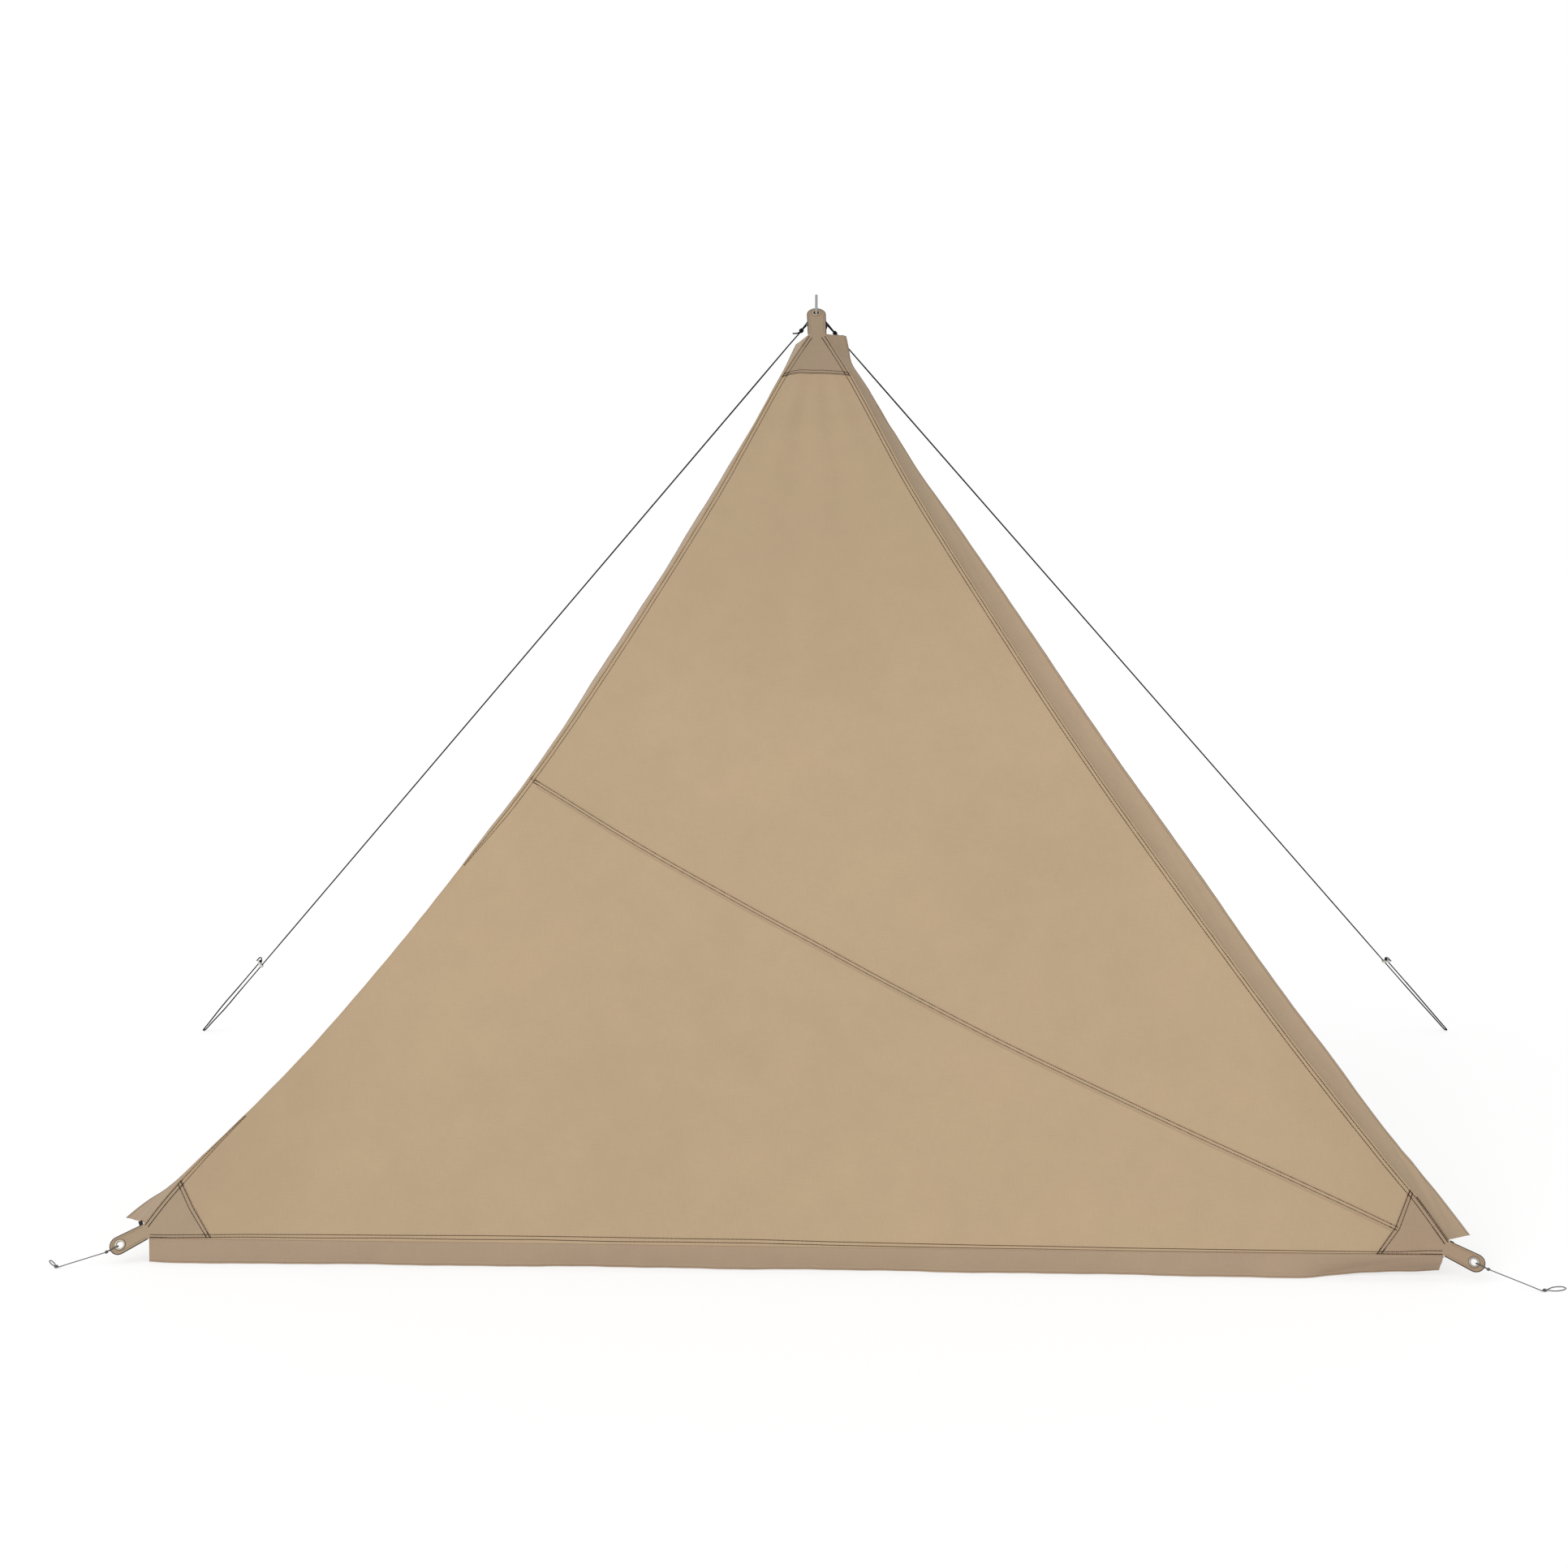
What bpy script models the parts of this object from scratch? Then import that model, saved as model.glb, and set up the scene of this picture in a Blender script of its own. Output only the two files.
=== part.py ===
"""Three-cornered camping tarp, pitched as a lean-to on one upright pole.

Metres, +Z up. The origin is the centre of the pole's foot on the ground. The tarp slopes
down from the pole's pin towards -Y, and its guy ropes run back towards +Y.
"""

import math

import bmesh
import bpy
from mathutils import Matrix, Vector

# Cloth
CLOTH = 0.0008              # thickness of one layer of canvas
GAP = 0.0003                # left between pieces that touch
HEM_WIDTH = 0.022
SEAM_WIDTH = 0.016          # flat-felled seam between the two widths of cloth

# Panel, a triangle between three virtual corners
BASE_WIDTH = 3.2754         # between the two lower corners
BASE_SHIFT = -0.0272        # the pole stands this far to the right of the base's middle
SLOPE_HEIGHT = 2.756        # from the bottom edge up to the top corner, in the panel
PITCH = math.radians(60.0)  # slope of the panel, from the ground
HEM_Z = 0.063               # height of the bottom edge above the ground
# How far each side edge curves in from its straight line, as a share of its length, by share
# of its length from below
LEFT_BOW = ((0.0, 0.0), (0.04, 0.00093), (0.08, 0.00574), (0.14, 0.01629), (0.20, 0.02474),
            (0.275, 0.03113), (0.35, 0.03507), (0.50, 0.03814), (0.65, 0.03138), (0.80, 0.01940),
            (0.92, 0.00450), (0.96, 0.00124), (1.0, 0.0))
RIGHT_BOW = ((0.0, 0.0), (0.05, 0.00125), (0.09, 0.00502), (0.20, 0.01301), (0.35, 0.01893),
             (0.50, 0.02194), (0.65, 0.01944), (0.80, 0.01411), (0.92, 0.00288), (0.96, 0.00094),
             (1.0, 0.0))
SEAM_START = 1.540          # along the left side, from the lower corner
SEAM_SAG = 0.047

# Corner patches with their tabs. A patch's edge bends once: depths along the corner's bisector
# at its one end, its bend and its other end, then how far the bend lies off the bisector.
PATCHES = {"top": (0.190, 0.184, 0.186, 0.0), "left": (0.157, 0.165, 0.173, 0.0),
           "right": (0.169, 0.1655, 0.175, 0.0171)}
PATCH_INSET = 0.003
TAB_LEANS = {"top": math.radians(2.7), "left": math.radians(-0.4), "right": math.radians(2.5)}
CORNER_ROOT = 0.039         # width of a tab where it leaves the cloth
TOP_ROOT = 0.053
CORNER_WIDTH = 0.044        # width at its round end
TOP_WIDTH = 0.054
CORNER_TAB = 0.095          # length from the root
TOP_TAB = 0.108
CORNER_MARGIN = 0.0255      # from the tab's end to the eyelet's centre
TOP_MARGIN = 0.0205
TOP_TAB_TILT = math.radians(44.0)   # slope of the top tab where the pin goes through
BACKING_INSET = 0.026
STRAP_WIDTH = 0.010
STRAP_THICK = 0.0012
STRAP_PROUD = 0.012         # how far a strap's end shows past the side edge

# Eyelets, each a flanged barrel and a washer
EYELET_BORE = 0.0170
BARREL_WALL = 0.0008
FLANGE = 0.0270             # outer diameter
WASHER = 0.0250
PLATE = 0.0008              # thickness of flange and washer
ROLL = 0.0004               # how far the barrel's end stands behind the washer

# Skirts
SKIRT_WIDTH = 0.070
SKIRT_ROOT = 0.011          # sewn in behind the hem
SKIRT_FLARE = 0.014         # the free edge runs on this far past the lower end
SKIRT_SLANT = 0.018         # and stops this far short of the upper end
SKIRT_INSET = 0.046         # from the corner to the skirt's end
BOTTOM_SKIRT_WIDTH = 0.0600
BOTTOM_INSET = 0.040
# Turn of a side skirt out of the panel's plane, in degrees, by share of its length from below
LEFT_TURNS = ((0.0, 28.0), (0.01, 36.0), (0.02, 45.0), (0.035, 59.0), (0.06, 67.0),
              (0.12, 70.0), (0.35, 69.0), (0.55, 64.0), (0.75, 63.0), (0.92, 70.0),
              (0.97, 67.0), (1.0, 57.0))
RIGHT_TURNS = ((0.0, 27.0), (0.035, 30.0), (0.12, 29.0), (0.18, 22.0), (0.25, 18.0),
               (0.35, 8.0), (0.45, 2.0), (0.55, 7.0), (0.65, 11.0), (0.75, 25.0),
               (0.80, 35.0), (0.89, 49.0), (0.955, 57.0), (0.975, 56.0), (0.99, 40.0),
               (1.0, 28.0))
# Swing of the bottom skirt out of the vertical, in degrees, by share of its length from the left
BOTTOM_TURNS = ((0.0, -4.0), (0.07, 0.0), (0.35, 8.0), (0.60, 8.0), (0.85, 2.0),
                (0.893, 0.0), (0.925, 17.0), (0.957, 30.0), (1.0, 37.0))

# Pole
POLE_DIAMETER = 0.025
POLE_WALL = 0.0012
SPIGOT = 0.100              # how deep each section plugs into the one below
SPIGOT_WALL = 0.0012
SECTIONS = 3
FOOT_DIAMETER = 0.036
FOOT_HEIGHT = 0.032
FOOT_FLOOR = 0.006
CAP_FLAT = 0.017            # diameter of the cap's top, which the rope eyes lie on
CAP_CONE = 0.008
CAP_PLUG = 0.030
PIN_DIAMETER = 0.008
PIN_SHOWS = 0.055           # above the eyelet's centre
CAP_BELOW_EYELET = 0.0188   # the cap's top lies this far below the eyelet's centre

# Guy ropes
ROPE = 0.0035
EYE_RADIUS = 0.0072         # of the rope's centreline round the pin
BEND_START = 0.0130         # distance from the pin's axis where a rope bends down
BEND_RADIUS = 0.014
LEFT_PEG = Vector((-2.309, 1.236, 0.0022))
RIGHT_PEG = Vector((2.309, 1.437, 0.0022))
LEFT_KNOT = 0.063           # from the pin to the knot, along the rope
RIGHT_KNOT = 0.080
LEFT_RUNNER = 0.405         # from the peg end to the runner
RIGHT_RUNNER = 0.430
LEFT_ROLL = math.radians(0.0)       # turn of the doubled rope about its own line
RIGHT_ROLL = math.radians(70.0)
STRANDS = 0.014             # between the two strands of the doubled rope
STRAIGHT_RUN = 0.150        # the strands stay parallel this far below the runner
ROPE_TAIL = 0.024
KNOT_LENGTH = 0.011
KNOT_DIAMETER = 0.0128
RUNNER_LENGTH = 0.030
RUNNER_WIDTH = 0.011
RUNNER_THICK = 0.009
ROPE_CLEARANCE = 0.00045

# Peg cords
PEG_CORD = 0.0025
HITCH_REACH = 0.011         # from the tab's end to the knot
LEFT_PEG_KNOT = Vector((-1.843, -1.459, 0.0042))
RIGHT_PEG_KNOT = Vector((1.795, -1.480, 0.0042))
LEFT_LOOP_AIM = math.radians(124.0)     # heading of each end loop on the ground
RIGHT_LOOP_AIM = math.radians(28.0)
LOOP_LENGTH = 0.060
LEFT_LOOP_WIDTH = 0.012
RIGHT_LOOP_WIDTH = 0.026
PEG_KNOT_LENGTH = 0.008
PEG_KNOT_DIAMETER = 0.0084

# Derived places
UP_SLOPE = Vector((0.0, math.cos(PITCH), math.sin(PITCH)))
OUT = Vector((0.0, -math.sin(PITCH), math.cos(PITCH)))
LEFT_APEX = (BASE_SHIFT - BASE_WIDTH / 2, 0.0)
RIGHT_APEX = (BASE_SHIFT + BASE_WIDTH / 2, 0.0)
TOP_APEX = (math.tan(TAB_LEANS["top"]) * (TOP_TAB - TOP_MARGIN), SLOPE_HEIGHT)
FRONT = (CLOTH + GAP, 2 * CLOTH + GAP)              # layer in front of the panel
HEM = (-GAP - CLOTH, -GAP)                          # folded edge behind the panel
BACK = (-2 * GAP - 2 * CLOTH, -2 * GAP - CLOTH)     # layer behind the hem
STRAP = (-GAP - STRAP_THICK, -GAP)
TAB = (0.0, FRONT[1])

COLOURS = {
    "canvas": ((0.503, 0.371, 0.235), 0.9, 0.0),
    "webbing": ((0.012, 0.012, 0.013), 0.85, 0.0),
    "rope": ((0.010, 0.010, 0.011), 0.8, 0.0),
    "cord": ((0.150, 0.150, 0.155), 0.8, 0.0),
    "eyelet": ((0.55, 0.55, 0.55), 0.35, 1.0),
    "steel": ((0.42, 0.43, 0.43), 0.4, 1.0),
    "aluminium": ((0.60, 0.61, 0.62), 0.45, 1.0),
    "plastic": ((0.62, 0.63, 0.62), 0.4, 0.0),
    "rubber": ((0.02, 0.02, 0.02), 0.8, 0.0),
}


def clear_scene():
    for obj in list(bpy.data.objects):
        bpy.data.objects.remove(obj, do_unlink=True)


def material(name):
    if name in bpy.data.materials:
        return bpy.data.materials[name]
    colour, roughness, metallic = COLOURS[name]
    made = bpy.data.materials.new(name)
    made.use_nodes = True
    shader = made.node_tree.nodes["Principled BSDF"]
    shader.inputs["Base Color"].default_value = (*colour, 1.0)
    shader.inputs["Roughness"].default_value = roughness
    shader.inputs["Metallic"].default_value = metallic
    return made


def add(name, bm, finish, origin=(0.0, 0.0, 0.0), smooth=True):
    """Turns a bmesh in world coordinates into an object whose origin is at the given point."""
    bmesh.ops.recalc_face_normals(bm, faces=bm.faces)
    bmesh.ops.translate(bm, vec=-Vector(origin), verts=bm.verts)
    mesh = bpy.data.meshes.new(name)
    bm.to_mesh(mesh)
    bm.free()
    mesh.materials.append(material(finish))
    if smooth:
        mesh.shade_smooth()
        mesh.set_sharp_from_angle(angle=math.radians(35.0))
    obj = bpy.data.objects.new(name, mesh)
    obj.location = origin
    bpy.context.collection.objects.link(obj)
    return obj


def loft(sections, ring=False, ribbon=False):
    """Closed solid through a row of outlines with as many points each; a ring has no end caps.

    A ribbon's outlines run along one face and back along the other. Its two faces are cut into
    triangles alike, so that they keep their distance where it twists, and its caps are strips."""
    bm = bmesh.new()
    rows = [[bm.verts.new(p) for p in section] for section in sections]
    count = len(rows[0])
    pairs = list(zip(rows, rows[1:])) + ([(rows[-1], rows[0])] if ring else [])
    for low, high in pairs:
        for i in range(count):
            j = (i + 1) % count
            if ribbon and i < count // 2 - 1:
                bm.faces.new((low[i], low[j], high[j]))
                bm.faces.new((low[i], high[j], high[i]))
            elif ribbon:
                bm.faces.new((low[i], low[j], high[i]))
                bm.faces.new((low[j], high[j], high[i]))
            else:
                bm.faces.new((low[i], low[j], high[j], high[i]))
    if ribbon:
        for row in (rows[0], rows[-1]):
            for i in range(count // 2 - 1):
                bm.faces.new((row[i], row[i + 1], row[count - 2 - i], row[count - 1 - i]))
    elif not ring:
        bm.faces.new(list(reversed(rows[0])))
        bm.faces.new(rows[-1])
    return bm


def frame_of(origin, direction, side=None):
    """Matrix with Z along direction and X as near as it can be to side."""
    z = Vector(direction).normalized()
    x = Vector(side) if side else z.orthogonal()
    x = (x - z * x.dot(z)).normalized()
    place = Matrix((x, z.cross(x), z)).transposed().to_4x4()
    place.translation = origin
    return place


def circle(radius, height, place, sides):
    turn = 2 * math.pi / sides
    return [place @ Vector((radius * math.cos(i * turn), radius * math.sin(i * turn), height))
            for i in range(sides)]


def turned(name, profile, place, finish, sides=24):
    """Round solid from (radius, height) pairs: closed round the axis where the bore is given."""
    sections = []
    for i in range(sides):
        angle = 2 * math.pi * i / sides
        sections.append([place @ Vector((r * math.cos(angle), r * math.sin(angle), h))
                         for r, h in profile])
    return add(name, loft(sections, ring=True), finish, origin=place.translation)


def rod(name, stations, place, finish, sides=24):
    """Round solid without a bore, from (radius, height) stations along its axis."""
    sections = [circle(r, h, place, sides) for r, h in stations]
    return add(name, loft(sections), finish, origin=place.translation)


def cut_hole(obj, radius, place, reach, sides=24):
    """Cuts a round hole through an object along a frame's Z axis."""
    bm = loft([circle(radius, -reach, place, sides), circle(radius, reach, place, sides)])
    cutter = add(f"{obj.name}_cutter_{len(obj.modifiers)}", bm, "steel", smooth=False)
    cutter.hide_render = True
    cutter.display_type = "WIRE"
    hole = obj.modifiers.new("Hole", "BOOLEAN")
    hole.operation = "DIFFERENCE"
    hole.solver = "EXACT"
    hole.object = cutter


# Panel geometry

def lean(point, w):
    """Point of the panel, (across, up the slope), at height w in front of its back face."""
    return Vector((point[0], hem_y() + point[1] * UP_SLOPE.y - w * math.sin(PITCH),
                   HEM_Z + point[1] * UP_SLOPE.z + w * OUT.z))


def tab_bend(distance):
    """Run and rise of the bent top tab, that far from its root, and its slope there."""
    to_eyelet = TOP_TAB - TOP_MARGIN
    curve = (PITCH - TOP_TAB_TILT) / to_eyelet
    along = min(distance, to_eyelet)
    if abs(curve) < 1e-9 or distance <= 0.0:
        return distance * math.cos(PITCH), distance * math.sin(PITCH), PITCH
    slope = PITCH - curve * along
    run = (math.sin(PITCH) - math.sin(slope)) / curve
    rise = (math.cos(slope) - math.cos(PITCH)) / curve
    rest = distance - along
    return run + rest * math.cos(slope), rise + rest * math.sin(slope), slope


def hem_y():
    """The bottom edge's place, which puts the top eyelet's bore round the pin."""
    root = SLOPE_HEIGHT - root_depth("top")
    run = tab_bend(TOP_TAB - TOP_MARGIN)[0]
    thick = TAB[1] + 2 * GAP + 2 * PLATE + ROLL
    free = (EYELET_BORE * math.cos(TOP_TAB_TILT) - thick * math.sin(TOP_TAB_TILT)) / 2
    middle = (TAB[1] - ROLL) / 2 * math.sin(TOP_TAB_TILT)
    centre = PIN_DIAMETER / 2 + GAP - free
    return centre - root * UP_SLOPE.y - run + middle


def half_angle(corner):
    """Half the angle of a corner of the panel."""
    left = math.atan2(SLOPE_HEIGHT, TOP_APEX[0] - LEFT_APEX[0])
    right = math.atan2(SLOPE_HEIGHT, RIGHT_APEX[0] - TOP_APEX[0])
    return {"left": left / 2, "right": right / 2, "top": (math.pi - left - right) / 2}[corner]


def root_depth(corner):
    """Distance from a virtual corner in to the line where its tab starts."""
    width = TOP_ROOT if corner == "top" else CORNER_ROOT
    return width / 2 / math.tan(half_angle(corner))


def eyelet_reach(corner):
    """Distance from a tab's root to its eyelet."""
    return TOP_TAB - TOP_MARGIN if corner == "top" else CORNER_TAB - CORNER_MARGIN


def corner_axes(corner):
    """A corner's virtual point, its outward axis and the axis across it, in the panel."""
    if corner == "top":
        return TOP_APEX, (0.0, 1.0), (1.0, 0.0)
    half = half_angle(corner)
    if corner == "left":
        return LEFT_APEX, (-math.cos(half), -math.sin(half)), (math.sin(half), -math.cos(half))
    return RIGHT_APEX, (math.cos(half), -math.sin(half)), (-math.sin(half), -math.cos(half))


def in_corner(corner, a, b):
    apex, along, across = corner_axes(corner)
    return (apex[0] + a * along[0] + b * across[0], apex[1] + a * along[1] + b * across[1])


def on_tab(corner, a, b, w):
    """World point at a along a corner's axis, past its virtual point, and b across it."""
    root = -root_depth(corner)
    side = b - math.tan(TAB_LEANS[corner]) * max(0.0, a - root)
    if corner != "top" or a <= root:
        return lean(in_corner(corner, a, side), w)
    run, rise, slope = tab_bend(a - root)
    base = lean(in_corner(corner, root, side), 0.0)
    return base + Vector((0.0, run - w * math.sin(slope), rise + w * math.cos(slope)))


def eyelet_frame(corner):
    """Frame at an eyelet's centre on the tab's back face, Z out of the tab's front."""
    a = eyelet_reach(corner) - root_depth(corner)
    centre = on_tab(corner, a, 0.0, 0.0)
    out = on_tab(corner, a, 0.0, 1.0) - centre
    return frame_of(centre, out, on_tab(corner, a, 1.0, 0.0) - centre)


def eased(pairs, share):
    """Value at a share of the way along, on a smooth curve through (share, value) pairs."""
    last = len(pairs) - 1
    i = next((k for k in range(last) if share <= pairs[k + 1][0]), last - 1)
    slopes = []
    for k in (i, i + 1):
        (a, x), (b, y) = pairs[max(k - 1, 0)], pairs[min(k + 1, last)]
        slopes.append((y - x) / (b - a))
    (a, x), (b, y) = pairs[i], pairs[i + 1]
    t = (share - a) / (b - a)
    return (x * (1 + 2 * t) * (1 - t) ** 2 + y * t * t * (3 - 2 * t)
            + (b - a) * t * (1 - t) * (slopes[0] * (1 - t) - slopes[1] * t))


def side_length(side):
    apex = LEFT_APEX if side == "left" else RIGHT_APEX
    return math.hypot(apex[0] - TOP_APEX[0], SLOPE_HEIGHT)


def edge(side, s, inset=0.0):
    """Point of a side edge, s up its chord from the lower corner, moved in by inset."""
    apex = LEFT_APEX if side == "left" else RIGHT_APEX
    length = side_length(side)
    along = ((TOP_APEX[0] - apex[0]) / length, SLOPE_HEIGHT / length)
    inward = (along[1], -along[0]) if side == "left" else (-along[1], along[0])
    bow = eased(LEFT_BOW if side == "left" else RIGHT_BOW, s / length) * length + inset
    return (apex[0] + s * along[0] + bow * inward[0], s * along[1] + bow * inward[1])


def seam_line(count):
    """The diagonal seam's points, from the left edge to the right corner's tab root."""
    start = edge("left", SEAM_START)
    stop = in_corner("right", -PATCHES["right"][1], PATCHES["right"][3])
    span = (stop[0] - start[0], stop[1] - start[1])
    length = math.hypot(*span)
    down = (span[1] / length, -span[0] / length)
    points = []
    for i in range(count + 1):
        share = i / count
        bow = SEAM_SAG * 4 * share * (1 - share)
        points.append((start[0] + share * span[0] + bow * down[0],
                       start[1] + share * span[1] + bow * down[1]))
    return points


def shifted(points, distance):
    """A line of points in the panel moved to its left side by a distance."""
    moved = []
    for i, p in enumerate(points):
        a = points[max(i - 1, 0)]
        b = points[min(i + 1, len(points) - 1)]
        length = math.hypot(b[0] - a[0], b[1] - a[1])
        moved.append((p[0] - (b[1] - a[1]) / length * distance,
                      p[1] + (b[0] - a[0]) / length * distance))
    return moved


def plate(name, outline, layer):
    """Flat piece of cloth with an outline in the panel, between two heights."""
    sections = [[lean(p, w) for p in outline] for w in layer]
    return add(name, loft(sections), "canvas", origin=lean(outline[0], 0.0))


def strip(name, inner, outer, layer, finish="canvas"):
    """Band of cloth between two lines of as many points in the panel."""
    sections = [[lean(a, layer[0]), lean(b, layer[0]), lean(b, layer[1]), lean(a, layer[1])]
                for a, b in zip(inner, outer)]
    return add(name, loft(sections), finish, origin=lean(inner[0], 0.0))


def stations(start, stop, count):
    return [start + (stop - start) * i / count for i in range(count + 1)]


def make_panels():
    """The two widths of cloth that meet in the diagonal seam."""
    root = {c: root_depth(c) / math.cos(half_angle(c)) for c in ("left", "right", "top")}
    seam = seam_line(20) + [in_corner("right", -root_depth("right"), 0.0)]
    top = side_length("left") - root["top"]
    left_up = [edge("left", s) for s in stations(SEAM_START, top, 16)]
    right_down = [edge("right", s) for s in
                  stations(side_length("right") - root["top"], root["right"], 28)]
    over = shifted(seam, GAP / 2)
    plate("upper_panel", left_up[1:] + right_down + over[::-1], (0.0, CLOTH))
    under = shifted(seam, -GAP / 2)
    left_down = [edge("left", s) for s in stations(SEAM_START, root["left"], 16)]
    bottom = [(LEFT_APEX[0] + root["left"], 0.0), (RIGHT_APEX[0] - root["right"], 0.0)]
    plate("lower_panel", under[:1] + left_down[1:] + bottom + under[:0:-1], (0.0, CLOTH))
    line = seam_line(20)
    trimmed = [edge("left", SEAM_START, 0.006)] + line[1:-1]
    trimmed += [in_corner("right", -PATCHES["right"][1] - SEAM_WIDTH / 4, PATCHES["right"][3])]
    strip("diagonal_seam", shifted(trimmed, -SEAM_WIDTH / 2), shifted(trimmed, SEAM_WIDTH / 2),
          FRONT)


def make_hems():
    """The folded edges behind the panel."""
    clear = 2 * HEM_WIDTH / math.tan(half_angle("left"))
    for side in ("left", "right"):
        rows = stations(clear / 2 + 0.004, side_length(side) - clear / 2 - 0.004, 32)
        strip(f"{side}_hem", [edge(side, s, HEM_WIDTH) for s in rows],
              [edge(side, s) for s in rows], HEM)
    ends = (LEFT_APEX[0] + clear / 2 + 0.004, RIGHT_APEX[0] - clear / 2 - 0.004)
    strip("bottom_hem", [(u, HEM_WIDTH) for u in ends], [(u, 0.0) for u in ends], HEM)


def make_side_skirts():
    """The loose flaps along the two sides, turned back behind the panel."""
    middle = (BACK[0] + BACK[1]) / 2
    for side, turns in (("left", LEFT_TURNS), ("right", RIGHT_TURNS)):
        length = side_length(side)
        sections = []
        close = [0.01, 0.02, 0.035, 0.05, 0.07]
        for share in [0.0] + close + stations(0.1, 0.9, 32) + [1 - c for c in close[::-1]] + [1.0]:
            s = SKIRT_INSET + share * (length - 2 * SKIRT_INSET)
            tip = s - SKIRT_FLARE * (1 - share) ** 8 - SKIRT_SLANT * share ** 8
            turn = math.radians(eased(turns, share))
            root, bend = edge(side, s, SKIRT_ROOT), edge(side, s)
            reach = SKIRT_WIDTH * math.cos(turn)
            drop = SKIRT_WIDTH * math.sin(turn)
            half = CLOTH / 2
            # The skirt's faces lie square to its own turned plane
            lift = half * math.cos(turn)
            spread = half * math.sin(turn)
            sections.append([
                lean(root, middle - half), lean(bend, middle - half),
                lean(edge(side, tip, -reach + spread), middle - drop - lift),
                lean(edge(side, tip, -reach - spread), middle - drop + lift),
                lean(edge(side, s, -2 * spread), middle + half), lean(root, middle + half)])
        add(f"{side}_skirt", loft(sections, ribbon=True), "canvas",
            origin=lean(edge(side, length / 2), 0.0))


def make_bottom_skirt():
    """The flap that hangs from the bottom edge and swings about it."""
    back = lean((0.0, 0.0), HEM[0])
    top = Vector((0.0, back.y, back.z - GAP - CLOTH / 2))
    start, stop = LEFT_APEX[0] + BOTTOM_INSET, RIGHT_APEX[0] - BOTTOM_INSET
    sections = []
    for share in stations(0.0, 1.0, 40):
        x = start + share * (stop - start)
        swing = math.radians(eased(BOTTOM_TURNS, share))
        outline = []
        for depth, bend in ((0.0, 0.0), (0.2, 0.6), (0.6, 1.0), (1.0, 1.0)):
            angle = swing * bend
            centre = Vector((x, top.y + BOTTOM_SKIRT_WIDTH * depth * math.sin(angle),
                             top.z - BOTTOM_SKIRT_WIDTH * depth * math.cos(angle)))
            outline.append((centre, Vector((0.0, math.cos(angle), math.sin(angle)))))
        half = CLOTH / 2
        sections.append([c - n * half for c, n in outline]
                        + [c + n * half for c, n in reversed(outline)])
    add("bottom_skirt", loft(sections, ribbon=True), "canvas", origin=(0.0, top.y, top.z))


def patch_edge(corner):
    """Three points of a patch's edge across the panel: on one side edge, its bend, the other."""
    first, middle, last, bend = PATCHES[corner]
    slant = math.cos(half_angle(corner))
    if corner == "top":
        ends = [edge(side, side_length(side) - depth / slant, PATCH_INSET)
                for side, depth in (("left", first), ("right", last))]
    else:
        apex = LEFT_APEX if corner == "left" else RIGHT_APEX
        reach = math.copysign(last / slant, -apex[0])
        ends = [edge(corner, first / slant, PATCH_INSET), (apex[0] + reach, PATCH_INSET)]
    return [ends[0], in_corner(corner, -middle, bend), ends[1]]


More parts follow.
